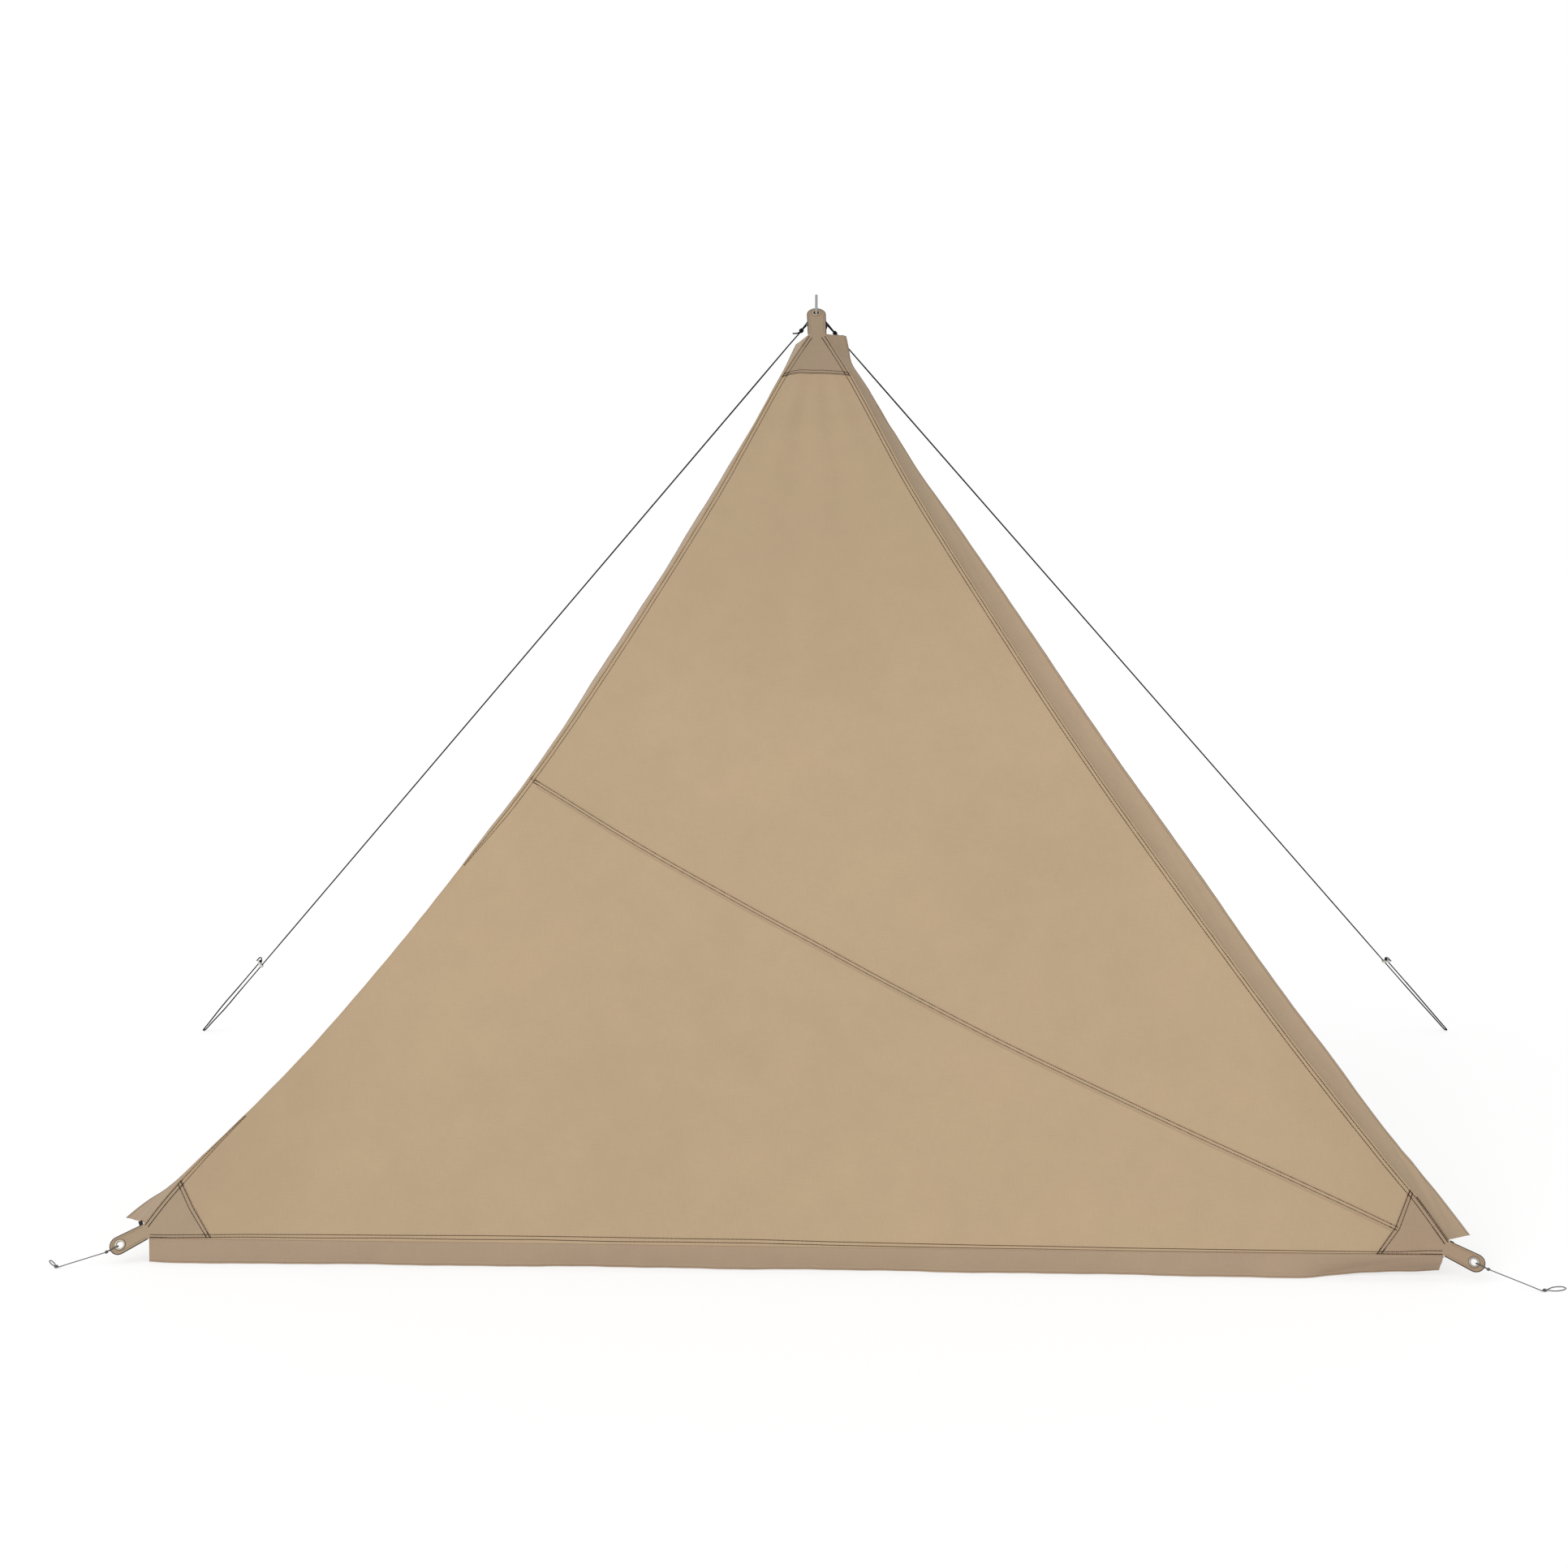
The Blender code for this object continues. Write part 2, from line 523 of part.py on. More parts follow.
def make_corner(corner):
    """A corner's patch with its tab, its backing, its strap and its eyelet."""
    root, spread = root_depth(corner), math.tan(half_angle(corner))
    length = TOP_TAB if corner == "top" else CORNER_TAB
    end = length - root
    radius = (TOP_WIDTH if corner == "top" else CORNER_WIDTH) / 2
    root_half = (TOP_ROOT if corner == "top" else CORNER_ROOT) / 2
    rows = [(-root, root_half, FRONT[0]), (-root + 0.003, root_half, TAB[0])]
    straight = end - radius - (-root + 0.003)
    for i in range(1, 7):
        share = i / 6
        rows.append((-root + 0.003 + straight * share,
                     root_half + (radius - root_half) * share, TAB[0]))
    for i in range(1, 6):
        angle = math.radians(76.0) * i / 5
        rows.append((end - radius + radius * math.sin(angle), radius * math.cos(angle), TAB[0]))
    patch = patch_edge(corner)
    sections = [[lean(p, FRONT[0]) for p in patch] + [lean(p, FRONT[1]) for p in patch[::-1]]]
    sections += [[on_tab(corner, a, b, low) for b in (-h, 0.0, h)]
                 + [on_tab(corner, a, b, TAB[1]) for b in (h, 0.0, -h)] for a, h, low in rows]
    place = eyelet_frame(corner)
    tab = add(f"{corner}_tab", loft(sections, ribbon=True), "canvas", origin=place.translation)
    barrel = EYELET_BORE / 2 + BARREL_WALL
    cut_hole(tab, barrel + GAP, place, 0.01)

    inner, outer = min(PATCHES[corner][:3]) - 0.004, root + 0.014
    narrow = BACKING_INSET / math.cos(half_angle(corner))
    plate(f"{corner}_backing", [in_corner(corner, -inner, -(inner * spread - narrow)),
                                in_corner(corner, -inner, inner * spread - narrow),
                                in_corner(corner, -outer, max(outer * spread - narrow, 0.004)),
                                in_corner(corner, -outer, -max(outer * spread - narrow, 0.004))],
          BACK)

    near = -(SKIRT_INSET - 0.005) * math.cos(half_angle(corner))
    reach = (-near) * spread
    proud = STRAP_PROUD if corner != "top" else STRAP_PROUD / 2
    low = reach - 0.004 if corner != "top" else reach + proud
    ends = (-(reach + proud), low)
    sections = [[on_tab(corner, near, b, STRAP[0]), on_tab(corner, near + STRAP_WIDTH, b, STRAP[0]),
                 on_tab(corner, near + STRAP_WIDTH, b, STRAP[1]), on_tab(corner, near, b, STRAP[1])]
                for b in ends]
    add(f"{corner}_strap", loft(sections), "webbing", origin=on_tab(corner, near, 0.0, STRAP[0]))

    front = TAB[1] + GAP
    bore = EYELET_BORE / 2
    tail = -GAP - PLATE - ROLL
    turned(f"{corner}_eyelet", [(bore, tail), (barrel, tail), (barrel, front), (FLANGE / 2, front),
                                (FLANGE / 2 - 0.0004, front + PLATE), (bore + 0.0004, front + PLATE),
                                (bore, front + PLATE / 2)], place, "eyelet")
    turned(f"{corner}_washer", [(barrel + GAP, -GAP - PLATE), (WASHER / 2, -GAP - PLATE),
                                (WASHER / 2, -GAP), (barrel + GAP, -GAP)], place, "eyelet")


# Pole

def cap_z():
    """Height of the pole cap's top."""
    return eyelet_frame("top").translation.z - CAP_BELOW_EYELET


def make_pole():
    up = (0.0, 0.0, 1.0)
    radius, bore = POLE_DIAMETER / 2, POLE_DIAMETER / 2 - POLE_WALL
    plug = bore - GAP
    shoulder = cap_z() - CAP_CONE
    bottom = FOOT_FLOOR + GAP
    length = (shoulder - bottom - SECTIONS * GAP) / SECTIONS
    for i, name in enumerate(("lower", "middle", "upper")[:SECTIONS]):
        low = bottom + i * (length + GAP)
        place = frame_of((0.0, 0.0, low), up, (1.0, 0.0, 0.0))
        profile = [(bore, 0.0), (radius, 0.0), (radius, length), (bore, length)]
        if i:
            inner = plug - SPIGOT_WALL
            profile = [(inner, -SPIGOT), (plug, -SPIGOT), (plug, 0.0), (radius, 0.0),
                       (radius, length), (bore, length), (bore, 0.012), (inner, 0.004)]
        turned(f"pole_{name}", profile, place, "aluminium", sides=24)

    foot = FOOT_DIAMETER / 2
    place = frame_of((0.0, 0.0, 0.0), up, (1.0, 0.0, 0.0))
    rod_profile = [(foot - 0.002, 0.0), (foot, 0.002), (foot, 0.008),
                   (radius + 0.003, FOOT_HEIGHT)]
    cup = rod("pole_foot_cap", rod_profile, place, "rubber")
    cut_hole(cup, radius + GAP, frame_of((0.0, 0.0, FOOT_FLOOR + FOOT_HEIGHT), up), FOOT_HEIGHT)

    hole = PIN_DIAMETER / 2 + GAP
    base = -CAP_CONE - CAP_PLUG
    place = frame_of((0.0, 0.0, cap_z()), up, (1.0, 0.0, 0.0))
    cap = rod("pole_top_cap", [(plug, base), (plug, -CAP_CONE), (radius, -CAP_CONE + 0.0001),
                               (CAP_FLAT / 2, 0.0)], place, "rubber")
    cut_hole(cap, hole, frame_of((0.0, 0.0, cap_z()), up), CAP_CONE + CAP_PLUG - 0.006)

    low = cap_z() - (CAP_CONE + CAP_PLUG - 0.006) + GAP
    tip = eyelet_frame("top").translation.z + PIN_SHOWS
    pin = PIN_DIAMETER / 2
    place = frame_of((0.0, 0.0, low), up, (1.0, 0.0, 0.0))
    rod("pole_pin", [(pin - 0.0004, 0.0), (pin, 0.0004), (pin, tip - low - 0.0015),
                     (pin - 0.0012, tip - low)], place, "steel", sides=16)


# Ropes and cords

def smooth(points, share):
    """Catmull-Rom curve through points; share says how many steps each stretch is cut into."""
    path = [2 * points[0] - points[1]] + points + [2 * points[-1] - points[-2]]
    out = []
    for i in range(1, len(path) - 2):
        a, b, c, d = path[i - 1:i + 3]
        turn = (b - a).angle(c - b, 0.0) + (c - b).angle(d - c, 0.0)
        steps = max(1, min(share, round(turn / math.radians(16.0))))
        for k in range(steps):
            t = k / steps
            scale = (c - b).length
            m = (c - a).normalized() * scale
            n = (d - b).normalized() * scale
            out.append(b * (1 + 2 * t) * (1 - t) ** 2 + m * t * (1 - t) ** 2
                       + c * t * t * (3 - 2 * t) + n * t * t * (t - 1))
    return out + [points[-1]]


def cord(name, points, diameter, finish):
    """Round cord as a curve with filled ends."""
    curve = bpy.data.curves.new(name, "CURVE")
    curve.dimensions = "3D"
    curve.bevel_depth = diameter / 2
    curve.bevel_resolution = 2
    curve.use_fill_caps = True
    curve.twist_mode = "MINIMUM"
    spline = curve.splines.new("POLY")
    spline.points.add(len(points) - 1)
    for place, p in zip(spline.points, points):
        place.co = (*p, 1.0)
    curve.materials.append(material(finish))
    obj = bpy.data.objects.new(name, curve)
    bpy.context.collection.objects.link(obj)
    return obj


def barrel_knot(name, centre, direction, length, diameter, strand, finish):
    """Knot as a short barrel round two strands that lie side by side."""
    bore = strand + GAP
    outer = diameter / 2
    half = length / 2
    turned(name, [(bore, -half), (outer - 0.0012, -half), (outer, -half + 0.0015),
                  (outer, half - 0.0015), (outer - 0.0012, half), (bore, half)],
           frame_of(centre, direction), finish, sides=12)


def guy_plan(side):
    """Named places of one guy rope: its eye, its slope, its knot, runner and peg."""
    left = side == "left"
    peg = LEFT_PEG if left else RIGHT_PEG
    out = Vector((peg.x, peg.y, 0.0)).normalized()
    across = Vector((-out.y, out.x, 0.0))
    eye_z = cap_z() + ROPE / 2 + GAP + (0.0 if left else ROPE + GAP)
    far = math.hypot(peg.x, peg.y)
    slope = 0.0
    for _ in range(6):
        start = BEND_START + BEND_RADIUS * math.sin(slope)
        drop = BEND_RADIUS * (1 - math.cos(slope))
        slope = math.atan2(eye_z - drop - peg.z, far - start)
    down = out * math.cos(slope) - Vector((0.0, 0.0, math.sin(slope)))
    first = out * start + Vector((0.0, 0.0, eye_z - drop))
    knot = first + down * ((LEFT_KNOT if left else RIGHT_KNOT) - start)
    runner = peg - down * (LEFT_RUNNER if left else RIGHT_RUNNER)
    upright = across.cross(down)
    if upright.z < 0:
        upright = -upright
    return {"out": out, "across": across, "eye_z": eye_z, "slope": slope, "down": down,
            "first": first, "knot": knot, "runner": runner, "peg": peg, "upright": upright,
            "roll": LEFT_ROLL if left else -RIGHT_ROLL}


def strand_offset(plan, share):
    """Half the step from the main strand to the return strand, turning flat by the peg."""
    angle = plan["roll"] + (math.copysign(math.pi / 2, plan["roll"] or 1.0) - plan["roll"]) * share
    return (plan["upright"] * math.cos(angle) + plan["across"] * math.sin(angle)) * STRANDS / 2


def guy_route(side):
    """The rope: tail, knot, eye round the pin, knot, main line, loop at the peg, runner, tail."""
    p = guy_plan(side)
    down, across, out = p["down"], p["across"], p["out"]
    knot_half = ROPE / 2 + GAP / 2
    tail_turn = across * (1.0 if side == "left" else -1.0)
    sag = Vector((0.0, 0.0, -1.0))
    route = [p["knot"] + down * (KNOT_LENGTH / 2 + ROPE_TAIL) + tail_turn * 0.010
             + sag * -0.012 + tail_turn * knot_half,
             p["knot"] + down * (KNOT_LENGTH / 2 + ROPE_TAIL / 2) + tail_turn * 0.006
             + sag * -0.004]
    half_knot = KNOT_LENGTH / 2 + 0.001
    eye = out * 0.0
    level = Vector((0.0, 0.0, p["eye_z"]))
    outward = [p["knot"] + down * half_knot, p["knot"] - down * half_knot,
               p["first"] + down * 0.010, p["first"]]
    widths = [knot_half, knot_half, EYE_RADIUS * 0.75, EYE_RADIUS * 0.93]
    route += [c + tail_turn * w for c, w in zip(outward, widths)]
    bend = BEND_START + BEND_RADIUS * math.sin(p["slope"] / 2)
    drop = BEND_RADIUS * (1 - math.cos(p["slope"] / 2))
    route.append(level + out * bend + sag * drop + tail_turn * EYE_RADIUS * 0.98)
    for i in range(9):
        angle = math.pi * i / 8
        route.append(level + eye + (tail_turn * math.cos(angle) - out * math.sin(angle)) * EYE_RADIUS)
    route.append(level + out * bend + sag * drop - tail_turn * EYE_RADIUS * 0.98)
    route += [c - tail_turn * w for c, w in zip(outward[::-1], widths[::-1])]

    start = route[-1] + down * 0.05 + tail_turn * knot_half
    offset = strand_offset(p, 0.0)
    stop = p["runner"] - offset - down * 0.03
    route += [start + (stop - start) * i / 20 for i in range(21)]
    total = LEFT_RUNNER if side == "left" else RIGHT_RUNNER
    turn_at = total - STRANDS / 2
    steps = [0.0, STRAIGHT_RUN] + stations(STRAIGHT_RUN, turn_at, 6)[1:]
    shares = [max(0.0, (d - STRAIGHT_RUN) / (turn_at - STRAIGHT_RUN)) for d in steps]
    shares = [s * s * (3 - 2 * s) for s in shares]
    route += [p["runner"] + down * d - strand_offset(p, s) for d, s in zip(steps, shares)]
    end = strand_offset(p, 1.0)
    middle = p["runner"] + down * turn_at
    for degrees in (-45.0, 0.0, 45.0):
        angle = math.radians(degrees)
        route.append(middle + end * math.sin(angle) + down * STRANDS / 2 * math.cos(angle))
    route += [p["runner"] + down * d + strand_offset(p, s)
              for d, s in zip(steps[::-1], shares[::-1])]
    top = p["runner"] + offset
    away = offset.normalized()
    for back, aside in ((0.006, 0.0), (0.013, 0.0), (0.0165, 0.0020), (0.0180, 0.0060),
                        (0.0165, 0.0100), (0.0120, 0.0122), (0.0030, 0.0130),
                        (-0.0050, 0.0130)):
        route.append(top - down * back + away * aside)
    return route


def make_guy(side):
    p = guy_plan(side)
    cord(f"guy_rope_{side}", smooth(guy_route(side), 2), ROPE, "rope")
    barrel_knot(f"guy_knot_{side}", p["knot"], p["down"], KNOT_LENGTH, KNOT_DIAMETER,
                ROPE + GAP / 2, "rope")
    offset = strand_offset(p, 0.0)
    bore = ROPE / 2 + ROPE_CLEARANCE
    seat = p["runner"] + offset - p["down"] * (RUNNER_THICK / 2 + 0.0035 + GAP)
    turned(f"guy_stopper_{side}", [(bore, -0.0035), (bore + 0.0026, -0.0035),
                                   (bore + 0.0030, 0.0), (bore + 0.0026, 0.0035), (bore, 0.0035)],
           frame_of(seat, p["down"]), "rope", sides=12)

    place = frame_of(p["runner"], p["down"], offset)
    half, round_end, thick = RUNNER_LENGTH / 2, RUNNER_WIDTH / 2, RUNNER_THICK / 2
    outline = []
    for sign in (1, -1):
        for i in range(7):
            angle = math.radians(-90.0 + 30.0 * i)
            outline.append((sign * (half - round_end) + sign * round_end * math.cos(angle),
                            sign * round_end * math.sin(angle)))
    sections = []
    for height, shrink in ((-thick, 0.8), (-thick + 0.0012, 1.0), (thick - 0.0012, 1.0),
                           (thick, 0.8)):
        sections.append([place @ Vector((x * (1 - (1 - shrink) * round_end / half), y * shrink,
                                         height)) for x, y in outline])
    block = add(f"runner_{side}", loft(sections), "plastic", origin=p["runner"])
    for sign in (-1, 1):
        centre = p["runner"] + offset * sign
        cut_hole(block, bore, frame_of(centre, p["down"]), RUNNER_THICK, sides=16)


def peg_route(side):
    """The peg cord: through the eyelet, back round the tab's end, knot, and its ground loop."""
    knot = LEFT_PEG_KNOT if side == "left" else RIGHT_PEG_KNOT
    aim = LEFT_LOOP_AIM if side == "left" else RIGHT_LOOP_AIM
    end = CORNER_TAB - root_depth(side)
    hole = end - CORNER_MARGIN
    half = PEG_CORD / 2
    high = TAB[1] + GAP + PLATE + half + GAP
    low = -GAP - PLATE - ROLL - half - GAP
    middle = (TAB[1]) / 2
    near = half + GAP / 2
    rim = hole + EYELET_BORE / 2 - half - 2 * GAP
    steps = [(end + HITCH_REACH + 0.004, middle - near), (end + HITCH_REACH - 0.004, middle - near),
             (end + 0.002, low + 0.0012), (rim + 0.006, low - 0.0002), (rim + 0.002, low - 0.0002),
             (rim - 0.0012, (low + middle) / 2 - 0.0006), (rim - 0.002, middle),
             (rim - 0.0012, (high + middle) / 2 + 0.0006), (rim + 0.002, high + 0.0002),
             (rim + 0.006, high + 0.0002), (end + 0.002, high - 0.0012),
             (end + HITCH_REACH - 0.004, middle + near), (end + HITCH_REACH + 0.004, middle + near)]
    route = [on_tab(side, a, 0.0, w) for a, w in steps]
    along = Vector((math.cos(aim), math.sin(aim), 0.0))
    across = Vector((-along.y, along.x, 0.0)) * (1.0 if side == "left" else -1.0)
    lead = route[-1]
    entry = knot - along * (PEG_KNOT_LENGTH / 2 + 0.005) + across * near
    pull = (entry - lead)
    route += [lead + pull * share for share in (0.25, 0.5, 0.75, 1.0)]
    low_by = Vector((0.0, 0.0, half + GAP - knot.z))
    wide = (LEFT_LOOP_WIDTH if side == "left" else RIGHT_LOOP_WIDTH) / 2
    shape = ((0.0, near, 0.0), (0.10, 0.22 * wide, 0.5), (0.30, 0.72 * wide, 1.0),
             (0.58, wide, 1.0), (0.82, 0.80 * wide, 1.0), (0.96, 0.38 * wide, 1.0))
    mouth = PEG_KNOT_LENGTH / 2
    start = knot + along * (mouth + 0.001)
    side_a = [start + along * LOOP_LENGTH * t + across * w + low_by * d for t, w, d in shape]
    side_b = [start + along * LOOP_LENGTH * t - across * w + low_by * d for t, w, d in shape]
    route += [knot + along * t + across * near for t in (-mouth - 0.001, mouth - 0.0015)]
    route += side_a + side_b[::-1]
    route += [knot + along * t - across * near for t in (mouth - 0.0015, -mouth - 0.003)]
    return route


def make_peg_cord(side):
    knot = LEFT_PEG_KNOT if side == "left" else RIGHT_PEG_KNOT
    aim = LEFT_LOOP_AIM if side == "left" else RIGHT_LOOP_AIM
    cord(f"peg_cord_{side}", smooth(peg_route(side), 2), PEG_CORD, "cord")
    end = CORNER_TAB - root_depth(side) + HITCH_REACH
    centre = on_tab(side, end, 0.0, TAB[1] / 2)
    direction = on_tab(side, end + 1.0, 0.0, TAB[1] / 2) - centre
    strand = PEG_CORD + GAP / 2
    barrel_knot(f"peg_hitch_{side}", centre, direction, PEG_KNOT_LENGTH, PEG_KNOT_DIAMETER,
                strand, "cord")
    barrel_knot(f"peg_knot_{side}", knot, (math.cos(aim), math.sin(aim), 0.0), PEG_KNOT_LENGTH,
                PEG_KNOT_DIAMETER, strand, "cord")


def main():
    clear_scene()
    make_pole()
    make_panels()
    make_hems()
    make_side_skirts()
    make_bottom_skirt()
    for corner in ("top", "left", "right"):
        make_corner(corner)
    for side in ("left", "right"):
        make_guy(side)
        make_peg_cord(side)


main()
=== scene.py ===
"""Dresses the three-cornered camping tarp: canvas, stitching, ropes and metal on its frame.

Metres, +Z up, in the frame of the CAD: the pole's foot is the origin, and the tarp slopes
down towards -Y. A point (u, v) lies on the panel's plane, u to the right and v up the slope,
and w is its height in front of the panel's back face.
"""

import math
from types import SimpleNamespace

import bmesh
import bpy
import numpy as np
from mathutils import Matrix, Vector


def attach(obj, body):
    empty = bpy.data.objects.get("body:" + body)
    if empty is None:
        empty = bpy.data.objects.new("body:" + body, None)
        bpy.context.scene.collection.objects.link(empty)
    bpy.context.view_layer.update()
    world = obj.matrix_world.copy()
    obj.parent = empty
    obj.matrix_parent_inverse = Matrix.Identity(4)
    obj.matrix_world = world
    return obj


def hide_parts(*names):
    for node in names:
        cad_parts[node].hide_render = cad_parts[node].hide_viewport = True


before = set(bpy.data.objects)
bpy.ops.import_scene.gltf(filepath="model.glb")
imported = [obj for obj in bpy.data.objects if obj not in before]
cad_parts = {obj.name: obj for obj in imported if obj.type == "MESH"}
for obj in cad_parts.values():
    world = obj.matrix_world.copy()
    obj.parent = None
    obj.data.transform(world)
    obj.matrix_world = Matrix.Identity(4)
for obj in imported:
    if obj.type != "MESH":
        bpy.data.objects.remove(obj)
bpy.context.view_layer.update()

# Camera, at the photograph's angle
camera = bpy.data.objects.new("camera", bpy.data.cameras.new("camera"))
bpy.context.collection.objects.link(camera)
camera.location = (0.1844, -6.6284, 1.7602)
camera.rotation_euler = (math.radians(84.0), 0.0, 0.0424)
camera.data.lens = 50.0
camera.data.sensor_width = 36.0
camera.data.clip_end = 400.0
bpy.context.scene.camera = camera

# Dimensions that the part's source has too
CORNERS, SIDES = ("top", "left", "right"), ("left", "right")
CLOTH, GAP = 0.0008, 0.0003
HEM_WIDTH, SEAM_WIDTH = 0.022, 0.016
BASE_WIDTH, BASE_SHIFT, SLOPE_HEIGHT = 3.2754, -0.0272, 2.756
PITCH, HEM_Z = math.radians(60.0), 0.063
BOWS = {"left": ((0.0, 0.0), (0.04, 0.00093), (0.08, 0.00574), (0.14, 0.01629), (0.20, 0.02474),
                 (0.275, 0.03113), (0.35, 0.03507), (0.50, 0.03814), (0.65, 0.03138),
                 (0.80, 0.01940), (0.92, 0.00450), (0.96, 0.00124), (1.0, 0.0)),
        "right": ((0.0, 0.0), (0.05, 0.00125), (0.09, 0.00502), (0.20, 0.01301), (0.35, 0.01893),
                  (0.50, 0.02194), (0.65, 0.01944), (0.80, 0.01411), (0.92, 0.00288),
                  (0.96, 0.00094), (1.0, 0.0))}
PATCHES = {"top": (0.190, 0.184, 0.186, 0.0), "left": (0.157, 0.165, 0.173, 0.0),
           "right": (0.169, 0.1655, 0.175, 0.0171)}
PATCH_INSET = 0.003
TAB_LEANS = {"top": math.radians(2.7), "left": math.radians(-0.4), "right": math.radians(2.5)}
TAB_ROOT = {"top": 0.053, "left": 0.039, "right": 0.039}
TAB_WIDTH = {"top": 0.054, "left": 0.044, "right": 0.044}
TAB_LENGTH = {"top": 0.108, "left": 0.095, "right": 0.095}
EYELET_MARGIN = {"top": 0.0205, "left": 0.0255, "right": 0.0255}
TOP_TAB_TILT = math.radians(44.0)
BACKING_INSET = 0.026
STRAP_WIDTH, STRAP_THICK, STRAP_PROUD = 0.010, 0.0012, 0.012
EYELET_BORE, BARREL_WALL, FLANGE, WASHER = 0.0170, 0.0008, 0.0270, 0.0250
PLATE, ROLL = 0.0008, 0.0004
SKIRT_WIDTH, SKIRT_ROOT, SKIRT_FLARE, SKIRT_SLANT = 0.070, 0.011, 0.014, 0.018
SKIRT_INSET, BOTTOM_SKIRT, BOTTOM_INSET = 0.046, 0.060, 0.040
# How far each skirt turns back from the panel's plane, in degrees along its length
TURNS = {"left": ((0.0, 28.0), (0.01, 36.0), (0.02, 45.0), (0.035, 59.0), (0.06, 67.0),
                  (0.12, 70.0), (0.35, 69.0), (0.55, 64.0), (0.75, 63.0), (0.92, 70.0),
                  (0.97, 67.0), (1.0, 57.0)),
         "right": ((0.0, 27.0), (0.035, 30.0), (0.12, 29.0), (0.18, 22.0), (0.25, 18.0),
                   (0.35, 8.0), (0.45, 2.0), (0.55, 7.0), (0.65, 11.0), (0.75, 25.0),
                   (0.80, 35.0), (0.89, 49.0), (0.955, 57.0), (0.975, 56.0), (0.99, 40.0),
                   (1.0, 28.0)),
         "bottom": ((0.0, -4.0), (0.07, 0.0), (0.35, 8.0), (0.60, 8.0), (0.85, 2.0),
                    (0.893, 0.0), (0.925, 17.0), (0.957, 30.0), (1.0, 37.0))}
PIN_DIAMETER, CAP_BELOW_EYELET = 0.008, 0.0188
ROPE, EYE_RADIUS, BEND_START, BEND_RADIUS = 0.0035, 0.0072, 0.0130, 0.014
PEG = {"left": Vector((-2.309, 1.236, 0.0022)), "right": Vector((2.309, 1.437, 0.0022))}
KNOT_AT = {"left": 0.063, "right": 0.080}
RUNNER_AT = {"left": 0.405, "right": 0.430}
STRAND_ROLL = {"left": math.radians(0.0), "right": -math.radians(70.0)}
STRANDS, STRAIGHT_RUN, ROPE_TAIL, KNOT_LENGTH = 0.014, 0.150, 0.024, 0.011
RUNNER_THICK, RUNNER_TRAVEL = 0.009, 0.1
PEG_CORD, HITCH_REACH, PEG_KNOT_LENGTH = 0.0025, 0.011, 0.008
PEG_KNOT = {"left": Vector((-1.843, -1.459, 0.0042)), "right": Vector((1.795, -1.480, 0.0042))}
LOOP_AIM = {"left": math.radians(124.0), "right": math.radians(28.0)}
LOOP_LENGTH = 0.060

# Dimensions that follow the photograph more closely than the solids do
SEAM_START = 1.552
SEAM_BOW = ((0.0, 0.0), (0.05, 0.0090), (0.11, 0.0200), (0.17, 0.0280), (0.25, 0.0345),
            (0.35, 0.0395), (0.45, 0.0430), (0.53, 0.0440), (0.60, 0.0415), (0.70, 0.0335),
            (0.80, 0.0230), (0.90, 0.0105), (0.95, 0.0045), (1.0, 0.0))
LOOP_WIDTH = {"left": 0.008, "right": 0.026}
# Diameter of the rope where its braid swells freely, and at a knot or in a runner
LOFT, SQUEEZED = 0.0048, 0.0042

# Heights of the layers' two faces in front of the panel's back face
FRONT = (CLOTH + GAP, 2 * CLOTH + GAP)
BACK = (-2 * GAP - 2 * CLOTH, -2 * GAP - CLOTH)
STRAP = (-GAP - STRAP_THICK, -GAP)
TAB = (0.0, FRONT[1])
HEM_BACK = -GAP - CLOTH

UP_SLOPE = Vector((0.0, math.cos(PITCH), math.sin(PITCH)))
OUT = Vector((0.0, -math.sin(PITCH), math.cos(PITCH)))
UP = Vector((0.0, 0.0, 1.0))


def eyelet_reach(corner):
    return TAB_LENGTH[corner] - EYELET_MARGIN[corner]


# Virtual corners, where the edges' chords meet
APEX = {"top": (math.tan(TAB_LEANS["top"]) * eyelet_reach("top"), SLOPE_HEIGHT),
        "left": (BASE_SHIFT - BASE_WIDTH / 2, 0.0),
        "right": (BASE_SHIFT + BASE_WIDTH / 2, 0.0)}


# Geometry of the pitched tarp, as in the part's source

def half_angle(corner):
    left = math.atan2(SLOPE_HEIGHT, APEX["top"][0] - APEX["left"][0])
    right = math.atan2(SLOPE_HEIGHT, APEX["right"][0] - APEX["top"][0])
    return {"left": left / 2, "right": right / 2, "top": (math.pi - left - right) / 2}[corner]


def root_depth(corner):
    """Distance from a virtual corner to its tab's root, along the corner's axis."""
    return TAB_ROOT[corner] / 2 / math.tan(half_angle(corner))


def root_reach(corner):
    """The same distance along an edge of the panel."""
    return root_depth(corner) / math.cos(half_angle(corner))


def tab_bend(distance):
    """Where the top tab is, that far beyond its root: run, rise and slope there."""
    to_eyelet = eyelet_reach("top")
    curve = (PITCH - TOP_TAB_TILT) / to_eyelet
    along = min(distance, to_eyelet)
    if distance <= 0.0:
        return distance * math.cos(PITCH), distance * math.sin(PITCH), PITCH
    slope = PITCH - curve * along
    run = (math.sin(PITCH) - math.sin(slope)) / curve
    climb = (math.cos(slope) - math.cos(PITCH)) / curve
    rest = distance - along
    return run + rest * math.cos(slope), climb + rest * math.sin(slope), slope


